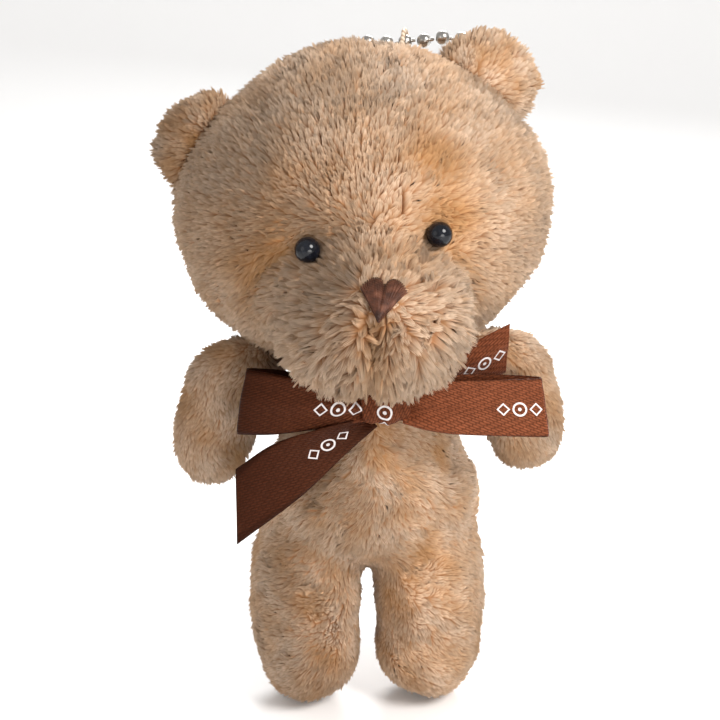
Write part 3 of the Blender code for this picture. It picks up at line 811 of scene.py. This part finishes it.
def thread_floats(tree, spot):
    """Soft-ended floats of thread in rows, each row a step on from the last."""
    parts = node(tree, "ShaderNodeSeparateXYZ", {"Vector": spot})
    rows = math_node(tree, "DIVIDE", parts.outputs["Y"], FLOAT_ROW)
    step = math_node(tree, "MULTIPLY", math_node(tree, "FLOOR", rows), 0.37)
    run = math_node(tree, "ADD", math_node(tree, "DIVIDE", parts.outputs["X"], FLOAT_LENGTH), step)

    def swell(value, power):
        centred = math_node(tree, "SUBTRACT", math_node(tree, "FRACT", value), 0.5)
        away = math_node(tree, "MULTIPLY", math_node(tree, "ABSOLUTE", centred), 2.0)
        return math_node(tree, "SUBTRACT", 1.0, math_node(tree, "POWER", away, power))
    return math_node(tree, "MULTIPLY", swell(run, 5.0), swell(rows, 2.4))


def printed_rings(tree, split):
    """A print that comes back along the ribbon: a ring round a dot, and a diamond at each side."""
    along = math_node(tree, "PINGPONG", split.outputs["X"], PRINT_REPEAT / 2)
    across = math_node(tree, "ADD", split.outputs["Y"], 0.3)

    squares = [math_node(tree, "MULTIPLY", value, value) for value in (along, across)]
    distance = math_node(tree, "SQRT", math_node(tree, "ADD", *squares))

    def near_zero(value, limit):
        return math_node(tree, "LESS_THAN", math_node(tree, "ABSOLUTE", value), limit)

    ring = near_zero(math_node(tree, "SUBTRACT", distance, RING_RADIUS), 0.16)
    dot = near_zero(distance, DOT_RADIUS)
    aside = math_node(tree, "ABSOLUTE", math_node(tree, "SUBTRACT", along, DIAMOND_PLACE))
    skew = math_node(tree, "ADD", aside, math_node(tree, "ABSOLUTE", across))
    diamond = near_zero(math_node(tree, "SUBTRACT", skew, DIAMOND_SIZE), 0.17)
    total = math_node(tree, "ADD", math_node(tree, "ADD", ring, dot), diamond)
    return math_node(tree, "MINIMUM", total, 1.0)


def travelled(line):
    """How far along a line of points each point is."""
    return np.concatenate([[0], np.cumsum(np.linalg.norm(np.diff(line, axis=0), axis=1))])


def sheet_normals(sheet):
    return unit(np.cross(np.gradient(sheet, axis=0), np.gradient(sheet, axis=1)))


def smooth_run(points):
    """A smooth curve through a few points, as a function of an array of shares from 0 to 1."""
    spots = np.array([list(p) for p in points], float)
    ends = np.concatenate([[2 * spots[0] - spots[1]], spots, [2 * spots[-1] - spots[-2]]])

    def at(share):
        place = np.clip(share, 0, 1) * (len(spots) - 1)
        whole = np.minimum(place.astype(int), len(spots) - 2)
        t = (place - whole)[:, None]
        a, b, c, d = (ends[whole + i] for i in range(4))
        bend, twist = 2 * a - 5 * b + 4 * c - d, 3 * b - a - 3 * c + d
        return 0.5 * (2 * b + (c - a) * t + bend * t * t + twist * t ** 3)
    return at


def strip_faces(rows, columns):
    """Quads of a solid strip whose two grids of points, front and back, follow one another."""
    grid = np.arange(rows * columns).reshape(rows, columns)
    below = grid + rows * columns
    quads = [np.stack([g[:-1, :-1], g[1:, :-1], g[1:, 1:], g[:-1, 1:]], axis=-1).reshape(-1, 4)[:, order]
             for g, order in ((grid, [0, 1, 2, 3]), (below, [0, 3, 2, 1]))]
    for upper, lower in ((grid[:, 0], below[:, 0]), (grid[::-1, -1], below[::-1, -1]),
                         (grid[0, ::-1], below[0, ::-1]), (grid[-1], below[-1])):
        quads.append(np.stack([upper[:-1], lower[:-1], lower[1:], upper[1:]], axis=-1))
    return np.concatenate(quads)


def ribbon_piece(name, node_name, centres, halves, mat, pleats, print_at, painted_sheen):
    """A ribbon with its thickness: middle line, half-width vectors and pleats(share, across) in metres.

    print_at is how far from its end the printed marks stand, in millimetres; the last argument is a painted sheen,
    how much painted highlight its floats get at its start, its middle and its end.
    """
    share = np.linspace(0, 1, RIBBON_STEPS + 1)
    across = np.linspace(-1, 1, RIBBON_RIBS + 1)
    middle, side = smooth_run(centres)(share), smooth_run(halves)(share)
    sheet = middle[:, None] + side[:, None] * across[None, :, None]
    sheet = sheet + sheet_normals(sheet) * pleats(share[:, None], across[None, :])[:, :, None]
    selvedge = np.maximum(np.abs(across) - 0.9, 0) / 0.1
    depth = RIBBON_THICK / 2 * np.sqrt(np.clip(1 - selvedge ** 2, 0.12, 1))[None, :, None]
    layers = [sheet + sheet_normals(sheet) * depth * way for way in (1, -1)]
    points = np.concatenate([layer.reshape(-1, 3) for layer in layers])
    quads = strip_faces(RIBBON_STEPS + 1, RIBBON_RIBS + 1)
    mesh = bpy.data.meshes.new(name)
    mesh.from_pydata(points, [], quads.tolist())

    length = travelled(middle)
    along_mm = np.repeat(((length - length[-1]) / MM + print_at)[:, None], RIBBON_RIBS + 1, axis=1)
    width_mm = np.linalg.norm(side, axis=1)[:, None] / MM * across[None, :]
    spots = np.stack([along_mm, width_mm], axis=-1).reshape(-1, 2)
    uv_layer(mesh, "weave", np.concatenate([spots, spots])[quads.ravel()])
    # painted sheen along the ribbon, from its start through its middle to its end
    shine = np.repeat(np.interp(share, (0, 0.5, 1), painted_sheen), RIBBON_RIBS + 1)
    point_layer(mesh, "painted_sheen", np.tile(shine, 2))
    stand_in(link(name, outward(mesh), mat), "body", node_name)


def bow_loop(word, side, mat):
    """A flattened loop: back layer out from the knot, a crisp fold, and the front layer home in pleats."""
    low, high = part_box(f"bow_loop_{word}")
    knot_low, knot_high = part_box("bow_knot")
    near_x = knot_high.x - 1.2 * MM if side > 0 else knot_low.x + 1.2 * MM
    far_x = high.x if side > 0 else low.x + 1.0 * MM
    reach = far_x - near_x
    y = (low.y + high.y) / 2
    gap = (high.y - low.y) / 2 - 0.4 * MM
    z, half = (low.z + high.z) / 2, (high.z - low.z) / 2
    lean = Vector((0.65 if side < 0 else -0.5, 0, 0)) * MM
    widths = (0.46, 0.55, 0.70, 0.93, 1.0) if side < 0 else (0.55, 0.78, 0.92, 0.98, 1.0)
    # along the loop, how far its two layers stand open and how far it has risen from the knot's level
    stations = ((0.0, 0.30, 0.0), (0.16, 0.72, 0.04), (0.38, 1.0, 0.2), (0.72, 0.80, 0.6), (0.975, 0.38, 1.0))
    out = [(near_x + reach * share, y + gap * open_share, KNOT.z + (z - KNOT.z) * lift, half * width)
           for (share, open_share, lift), width in zip(stations, widths)]
    home = [(x, 2 * y - yy, zz, width) for x, yy, zz, width in reversed(out)]
    run = [*out, (far_x, y, z, half), *home]
    centres = [(x, yy, zz) for x, yy, zz, _ in run]
    halves = [lean * (width / half) + Vector((0, 0, width)) for *_, width in run]

    def pleats(share, across):
        gather = np.exp(-np.minimum(share, 1 - share) / 0.16)
        folds = 0.75 * np.sin(across * 6.6 + 0.9 * side + share * 3) + 0.85 * np.sin(across * 2.7 + 1.4)
        sag = 0.5 * np.sin(share * math.pi * 2) * across ** 2
        bow = 0.45 * np.sin(share * 4 * math.pi + across * 1.1 * side)
        return (gather * folds * 0.75 + sag * 0.6 + bow * 0.7) * MM
    # painted sheen: the left loop is painted dark at its far end and lit near the knot, the right loop lit along
    # its length
    print_at, painted_sheen = (5.0, (0.11, 0.02, 0.72)) if side < 0 else (18.6, (0.5, 1.0, 1.1))
    ribbon_piece(f"satin_loop_{word}", f"bow_loop_{word}", centres, halves, mat, pleats, print_at, painted_sheen)


def bow_knot(mat):
    """The knot: ribbon wrapped over the bow's middle, pinched in at its waist, with pleats across it."""
    low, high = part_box("bow_knot")
    size = high - low
    ring, ribs = 96, 28
    power = 0.62

    def squared(wave, half):
        return np.sign(wave) * np.abs(wave) ** power * half

    fine = np.linspace(-math.pi, math.pi, 4001)
    outline = np.stack([squared(np.cos(fine), size.y / 2), squared(np.sin(fine), size.z / 2)], axis=1)
    length = travelled(outline)
    angle = np.interp(np.arange(ring) / ring * length[-1], length, fine)
    depth, rise = squared(np.cos(angle), size.y / 2), squared(np.sin(angle), size.z / 2)
    across = np.linspace(-1, 1, ribs + 1)
    swell = 1.02 - 0.26 * np.abs(across) ** 2.4
    fold = 0.06 * np.sin(across * 7.0 + 0.6) + 0.02 * np.sin(across * 19.0)
    scale = (swell + fold)[None, :] + 0.03 * np.sin(angle * 2 + 1)[:, None] * across[None, :]
    x = KNOT.x + across[None, :] * size.x / 2 * (1 + 0.05 * np.sin(angle)[:, None])
    y = KNOT.y - depth[:, None] * scale
    z = KNOT.z + rise[:, None] * scale
    outer = np.stack([np.broadcast_to(x, y.shape), y, z], axis=-1).reshape(-1, 3)
    grid = np.arange(ring * (ribs + 1)).reshape(ring, ribs + 1)
    turned = np.roll(grid, -1, axis=0)
    faces = np.stack([grid[:, :-1], grid[:, 1:], turned[:, 1:], turned[:, :-1]], axis=-1)
    faces = faces.reshape(-1, 4).tolist() + [grid[:, 0].tolist(), grid[::-1, -1].tolist()]
    mesh = bpy.data.meshes.new("satin_knot")
    mesh.from_pydata(outer, [], faces)
    layer = mesh.uv_layers.new(name="weave")
    width_mm = across * size.x / 2 / MM
    for face in mesh.polygons:
        for loop in face.loop_indices:
            index = mesh.loops[loop].vertex_index
            turn, rib = divmod(index, ribs + 1)
            if turn == 0 and face.index // ribs == ring - 1:
                turn = ring
            layer.data[loop].uv = ((turn / ring - 0.5) * length[-1] / MM + 0.7, width_mm[rib])
    # painted sheen, the same over the whole knot
    point_layer(mesh, "painted_sheen", np.full(len(outer), 0.7))
    stand_in(link("satin_knot", outward(mesh), mat), "body", "bow_knot")


def tails(mat):
    """The two cut ends: one hangs down over the belly, one rises beside the cheek."""
    low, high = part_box("bow_tail_left")
    front = (low.y + high.y) / 2
    start = Vector((KNOT.x - 2.2 * MM, front + 1.5 * MM, high.z + 1.0 * MM))
    end = Vector((low.x + 0.05 * MM, front - 0.2 * MM, low.z + (high.z - low.z) * 0.36))
    centres = [start, start.lerp(end, 0.26) + Vector((-0.4, -0.9, 0.5)) * MM,
               start.lerp(end, 0.62) + Vector((0, -1.1, 0.9)) * MM, end]
    halves = [Vector(half) * MM
              for half in ((-0.8, -0.7, 1.0), (-2.0, -1.6, 2.6), (-2.2, 0.0, 4.4), (0.1, 0.7, 6.1))]

    def ripple(share, across):
        tuck = np.exp(-share / 0.25) * (0.9 * np.cos(across * 3.2 + 0.6))
        return (0.55 * np.sin(share * 4.2 + across * 1.3) * share + tuck) * MM
    # the last three numbers are the left tail's painted sheen: darker at its ends, lit in its middle
    ribbon_piece("satin_tail_left", "bow_tail_left", centres, halves, mat, ripple, 17.5, (0.14, 0.26, 0.13))

    low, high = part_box("bow_tail_right")
    start = Vector((low.x + 1.0 * MM, high.y - 1.9 * MM, low.z + 2.6 * MM))
    end = Vector((high.x - 0.2 * MM, low.y + 2.6 * MM, high.z - 4.1 * MM))
    centres = [start, start.lerp(end, 0.5) + Vector((0, 0.5, -0.5)) * MM, end]
    halves = [Vector(half) * MM for half in ((-0.4, -0.3, 1.5), (-1.3, -1.5, 3.0), (0.1, -2.0, 4.0))]

    def curl(share, across):
        return (0.5 * np.sin(share * 3.0 + across * 1.8) + 0.2 * np.sin(across * 5)) * MM
    # the last three numbers are the right tail's painted sheen, lit towards its end
    ribbon_piece("satin_tail_right", "bow_tail_right", centres, halves, mat, curl, 4.2, (0.4, 0.8, 1.0))


def neck_ribbon(mat):
    """The ribbon round the neck, a little slack, with shallow creases."""
    low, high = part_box("neck_ribbon")
    middle, size = (low + high) / 2, (high - low) / 2
    shares = np.linspace(0, 1, 25)
    centres = [(middle.x + (size.x - 0.3 * MM) * math.sin(a), middle.y - (size.y - 0.3 * MM) * math.cos(a),
                middle.z + 0.4 * MM * math.sin(2 * a)) for a in shares * 2 * math.pi]
    centres[-1] = centres[0]
    halves = [Vector((0, 0, size.z * (0.92 + 0.08 * math.cos(3 * a)))) for a in shares * 2 * math.pi]

    def creases(share, across):
        return 0.22 * MM * np.sin(across * 5 + 2.0 * np.sin(share * 4 * math.pi))
    # the last three numbers are the neck ribbon's painted sheen
    ribbon_piece("satin_neck_ribbon", "neck_ribbon", centres, halves, mat, creases, 20.0, (0.5, 0.4, 0.5))


SATIN = satin_material("satin_weave", SATIN_DARK, SATIN_PAINTED_SHEEN)
bow_loop("left", -1, SATIN)
bow_loop("right", 1, SATIN)
bow_knot(SATIN)
tails(SATIN)
neck_ribbon(SATIN)


# ---------------------------------------------------------------- nose, eyes, chain

def tube(bm, path, radii, sides=8):
    """A closed tube along a path, with a round end at each side where its radius shrinks."""
    path = [Vector(p) for p in path]
    rings = []
    for index, (spot, radius) in enumerate(zip(path, radii)):
        ahead = path[min(index + 1, len(path) - 1)] - path[max(index - 1, 0)]
        turn = ahead.to_track_quat("Z", "Y")
        rings.append([bm.verts.new(spot + turn @ Vector((radius * math.cos(a), radius * math.sin(a), 0)))
                      for a in (2 * math.pi * i / sides for i in range(sides))])
    for first, second in zip(rings, rings[1:]):
        for i in range(sides):
            bm.faces.new((first[i], first[(i + 1) % sides], second[(i + 1) % sides], second[i]))
    bm.faces.new(rings[0][::-1])
    bm.faces.new(rings[-1])


def lathe(name, profile, steps, mat):
    """A turned mesh about Z from (radius, height) points that run down its outer side."""
    bm = bmesh.new()
    rings = []
    for radius, height in profile:
        if radius < 1e-7:
            rings.append([bm.verts.new((0, 0, height))])
        else:
            rings.append([bm.verts.new((radius * math.cos(a), radius * math.sin(a), height))
                          for a in (2 * math.pi * i / steps for i in range(steps))])
    for first, second in zip(rings, rings[1:]):
        for i in range(steps):
            a, b = first[i % len(first)], first[(i + 1) % len(first)]
            c, d = second[(i + 1) % len(second)], second[i % len(second)]
            bm.faces.new(list(dict.fromkeys((a, d, c, b))))
    return link(name, outward(mesh_of(bm, name)), mat)


def cad_points(node_name):
    return points_of(frame["nodes"][node_name].data)


def thread_material():
    """Rayon embroidery thread: two plies twisted, silky along its length."""
    mat, tree, shader = blank_material("embroidery_thread")
    plies = waves(tree, 900.0, 1.5)
    colour = ramp(tree, noise(tree, 700.0),
                  [(0.3, (0.030, 0.011, 0.006)), (0.55, (0.085, 0.029, 0.015)), (0.8, (0.17, 0.067, 0.038))])
    plug(tree, shader, Base_Color=colour, Roughness=scaled(tree, plies, 0.15, 0.36),
         Specular_IOR_Level=0.25, Normal=bump(tree, plies, 0.04 * MM, 0.7))
    return mat


def stitched_nose(mat):
    """A heart of satin stitches over a pad: each stitch runs from the top edge down towards the point."""
    cloud = cad_points("nose_embroidery")
    middle = cloud.mean(axis=0)
    _, _, axes = np.linalg.svd(cloud - middle, full_matrices=False)
    out = Vector(axes[2] if axes[2][1] < 0 else -axes[2])
    up = Vector((0, 0, 1)) - out * out.z
    up = Matrix.Rotation(math.radians(-6), 3, out) @ up.normalized()
    side = up.cross(out)
    flat = cloud - middle
    half = np.abs(flat @ np.array(side)).max() * 1.06
    top, foot = (flat @ np.array(up)).max(), (flat @ np.array(up)).min() * 1.22
    base = Vector(middle) - out * 0.6 * MM
    if side.x < 0:
        side = -side

    def edge_above(u):
        return top * (0.60 + 0.48 * math.sin(math.pi * min(abs(u) / 0.98, 1) ** 0.75) - 0.45 * abs(u) ** 4)

    def edge_below(u):
        return foot * (1 - abs(u) ** 0.9) + top * 0.35 * abs(u)

    bm = bmesh.new()
    stitches, points_each = 26, 11
    rng = np.random.default_rng(61)
    for lift in (0.35, 0.85):
        for index in range(stitches):
            u = (index + 0.5) / stitches * 2 - 1
            u_end = u * (0.42 if abs(u) > 0.1 else 0.6)
            start, end = (u * half, edge_above(u)), (u_end * half, edge_below(u_end))
            path, radii = [], []
            wobble = rng.normal(0, 0.05 * MM)
            for step in range(points_each):
                t = step / (points_each - 1)
                swell = math.sin(math.pi * t) ** 0.55
                x = start[0] + (end[0] - start[0]) * t + wobble * math.sin(math.pi * t)
                v = start[1] + (end[1] - start[1]) * t
                height = (lift + 0.55 * swell * (1 - 0.35 * u * u)) * MM + rng.normal(0, 0.01 * MM)
                groove = 0.45 * MM * math.exp(-(u / 0.10) ** 2) * (1 - t)
                path.append(base + side * x + up * v + out * (height - groove))
                radii.append(0.17 * MM * (0.75 + 0.25 * swell))
            tube(bm, path, radii)
    mesh = outward(mesh_of(bm, "nose_stitches"))
    stand_in(link("nose_stitches", mesh, mat), "head", "nose_embroidery")


def eye_material():
    """Polished black plastic with a faint bloom of dust."""
    mat, tree, shader = blank_material("eye_gloss")
    dust = noise(tree, 900.0, 4.0)
    colour = ramp(tree, dust, [(0.4, (0.003, 0.0035, 0.006)), (0.8, (0.010, 0.012, 0.018))])
    rough = ramp(tree, dust, [(0.35, (0.07,) * 3), (0.75, (0.16,) * 3)])
    plug(tree, shader, Base_Color=colour, Roughness=rough, Specular_IOR_Level=0.32)
    return mat


def eyes(mat):
    """Domed eyes: a ball with a faint mould line at its waist, on a shank that goes into the head."""
    for word in ("left", "right"):
        node_name = f"eye_{word}"
        low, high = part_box(node_name)
        radius = (high.x - low.x) / 2
        profile = []
        for a in np.linspace(0, 0.86 * math.pi, 26):
            ridge = 1 + 0.012 * math.exp(-((a - math.pi / 2) / 0.05) ** 2)
            profile.append((radius * math.sin(a) * ridge, radius * math.cos(a)))
        length = high.y - low.y - radius
        profile += [(0.4 * radius, -length * 0.96), (0.34 * radius, -length), (0.0, -length)]
        eye = lathe(f"eye_{word}_glossy", profile, 48, mat)
        eye.location = ((low.x + high.x) / 2, low.y + radius, (low.z + high.z) / 2)
        eye.rotation_euler = (math.pi / 2, 0, 0)
        stand_in(eye, "head", node_name)


def steel_material(name, dark, light, rough):
    """Nickel-plated steel: a little tarnish in patches and fine scratches."""
    mat, tree, shader = blank_material(name)
    patch = noise(tree, 700.0, 5.0)
    scratch = noise(tree, 5000.0)
    plug(tree, shader, Base_Color=ramp(tree, patch, [(0.35, dark), (0.65, light)]), Metallic=1.0,
         Roughness=ramp(tree, patch, [(0.3, (rough + 0.12,) * 3), (0.7, (rough,) * 3)]),
         Normal=bump(tree, scratch, 0.006 * MM, 0.4))
    return mat


def fitted_ball(cloud, radius):
    """The centre of the ball of known radius that most of the points lie on."""
    used = cloud
    for _ in range(6):
        rows = np.concatenate([2 * used, np.ones((len(used), 1))], axis=1)
        solution = np.linalg.lstsq(rows, (used ** 2).sum(axis=1), rcond=None)[0][:3]
        distance = np.abs(np.linalg.norm(cloud - solution, axis=1) - radius)
        used = cloud[distance <= max(np.percentile(distance, 60), 0.02 * MM)]
    return solution


def beads(mat):
    """Every ball of the chain, drawn smooth with the collars where its links go in."""
    collar = math.asin(2.1 * WIRE_RADIUS / BALL_RADIUS)
    shell = [(BALL_RADIUS * math.sin(a), BALL_RADIUS * math.cos(a))
             for a in np.linspace(collar, math.pi - collar, 22)]
    lip_radius, lip = shell[0]
    rim = [(WIRE_RADIUS, lip - 0.05 * MM), (lip_radius * 0.75, lip - 0.01 * MM),
           (lip_radius * 0.97, lip + 0.03 * MM)]
    ball = [*rim, *shell, *((r, -h) for r, h in reversed(rim))]
    bodies = frame["record"]["behaviour"]["bodies"]
    for node_name, body in ((node_name, body) for body, nodes in bodies.items() for node_name in nodes):
        if not node_name.startswith("chain_ball"):
            continue
        cloud = cad_points(node_name)
        spot = fitted_ball(cloud, BALL_RADIUS)
        offsets = cloud - spot
        reach = np.linalg.norm(offsets, axis=1)
        far = reach.max()
        heading = Vector((1, 0, 0))
        top, foot = [(0.0, rim[0][1])], [(0.0, -rim[0][1])]
        if far > BALL_RADIUS * 1.1:
            heading = Vector(unit(offsets[reach > far * 0.97].mean(axis=0)))
            top = [(0.0, far), (WIRE_RADIUS * 0.8, far), (WIRE_RADIUS, far - 0.1 * MM),
                   (WIRE_RADIUS, BALL_RADIUS * 1.02)]
        if node_name == "chain_ball_00":
            heading = Vector(unit(offsets[reach.argmax()]))
            foot = [(r, -h) for r, h in reversed(top)]
        bead = lathe(f"bead_{node_name.removeprefix('chain_ball_')}", [*top, *ball, *foot], 32, mat)
        bead.location = spot
        bead.rotation_mode = "QUATERNION"
        bead.rotation_quaternion = heading.to_track_quat("Z", "Y")
        stand_in(bead, body, node_name)


def fibre_material():
    """Polyester filling: white fluff."""
    mat, tree, shader = blank_material("fibre")
    fluff = noise(tree, 900.0, 6.0)
    plug(tree, shader, Base_Color=ramp(tree, fluff, [(0.3, (0.62, 0.60, 0.56)), (0.7, (0.86, 0.85, 0.82))]),
         Roughness=0.9, Normal=bump(tree, fluff, 0.2 * MM))
    return mat


def cord_material():
    """Twisted nylon."""
    mat, tree, shader = blank_material("nylon_cord")
    twist = waves(tree, 420.0, 0.6)
    plug(tree, shader, Base_Color=ramp(tree, twist, [(0.2, (0.42, 0.30, 0.20)), (0.8, (0.74, 0.60, 0.45))]),
         Roughness=0.5, Normal=bump(tree, twist, 0.08 * MM))
    return mat


def finish_cad_nodes(steel, fibre, cord):
    """Materials and small edge rounding for the CAD pieces that stay."""
    fillings = [name for name in frame["nodes"] if "stuffing" in name]
    cords = ["hang_loop", "eye_washer_left", "eye_washer_right"]
    for mat, names in ((steel, ["chain_connector"]), (fibre, fillings), (cord, cords)):
        for name in names:
            data = frame["nodes"][name].data
            data.materials.clear()
            data.materials.append(mat)
    for name in ("chain_connector", *cords):
        frame["nodes"][name].modifiers.new("Weld", "WELD").merge_threshold = 0.01 * MM
    soften = frame["nodes"]["chain_connector"].modifiers.new("Bevel", "BEVEL")
    soften.width = 0.09 * MM
    soften.segments = 2
    smooth = frame["nodes"]["hang_loop"].modifiers.new("Smooth", "SUBSURF")
    smooth.levels = smooth.render_levels = 2


stitched_nose(thread_material())
eyes(eye_material())
STEEL = steel_material("nickel_plate", (0.30, 0.285, 0.265), (0.50, 0.48, 0.45), 0.22)
beads(STEEL)
finish_cad_nodes(STEEL, fibre_material(), cord_material())


# ---------------------------------------------------------------- stage, light and camera

def stage_floor():
    """A pale floor that curves up into a backdrop."""
    bm = bmesh.new()
    bend = 0.4
    profile = [(-1.2, 0.0), (0.5, 0.0)]
    profile += [(0.5 + bend * math.sin(a), bend - bend * math.cos(a))
                for a in np.linspace(0.15, math.pi / 2, 10)]
    profile.append((0.5 + bend, 1.6))
    rows = [[bm.verts.new((x, y, z)) for y, z in profile] for x in (-1.6, 1.6)]
    for i in range(len(profile) - 1):
        bm.faces.new((rows[0][i], rows[1][i], rows[1][i + 1], rows[0][i + 1]))
    mat, tree, shader = blank_material("floor_paint")
    cloud = noise(tree, 3.0)
    plug(tree, shader, Base_Color=ramp(tree, cloud, [(0.3, (0.955,) * 3), (0.7, (0.97,) * 3)]), Roughness=0.9)
    floor = link("floor", outward(mesh_of(bm, "floor")), mat)
    floor.location.z = cad_low.z - 1.0 * MM


def area_light(name, spot, aim, size, watts, colour):
    data = bpy.data.lights.new(name, "AREA")
    data.shape = "DISK"
    data.size = size
    data.energy = watts
    data.color = colour
    lamp = bpy.data.objects.new(name, data)
    bpy.context.scene.collection.objects.link(lamp)
    lamp.location = spot
    lamp.rotation_mode = "QUATERNION"
    lamp.rotation_quaternion = (Vector(aim) - Vector(spot)).to_track_quat("-Z", "Y")


def light_scene():
    world = bpy.data.worlds.new("studio")
    bpy.context.scene.world = world
    world.use_nodes = True
    background = world.node_tree.nodes["Background"]
    background.inputs["Color"].default_value = (1.0, 0.99, 0.98, 1)
    background.inputs["Strength"].default_value = WORLD_STRENGTH
    middle = (cad_low + cad_high) / 2
    for name, spot, size, watts, colour in LIGHTS:
        area_light(name, spot, middle, size, watts, colour)


def place_camera():
    """A close view from slightly above and to the bear's right, aimed at its neck."""
    neck = next(joint for joint in frame["joints"] if joint["name"] == "head_turn")
    aim = Vector(neck["pos_m"]) + AIM_FROM_NECK
    back = Vector((math.sin(CAMERA_AZIMUTH) * math.cos(CAMERA_ELEVATION),
                   -math.cos(CAMERA_AZIMUTH) * math.cos(CAMERA_ELEVATION), math.sin(CAMERA_ELEVATION)))
    data = bpy.data.cameras.new("camera")
    data.sensor_width = 36.0
    data.lens = CAMERA_LENS
    data.clip_start = 0.01
    camera = bpy.data.objects.new("camera", data)
    bpy.context.scene.collection.objects.link(camera)
    camera.location = aim + back * CAMERA_DISTANCE
    camera.rotation_mode = "QUATERNION"
    camera.rotation_quaternion = (-back).to_track_quat("-Z", "Y")
    bpy.context.scene.camera = camera


stage_floor()
light_scene()
place_camera()
bpy.context.scene.view_settings.view_transform = "Standard"
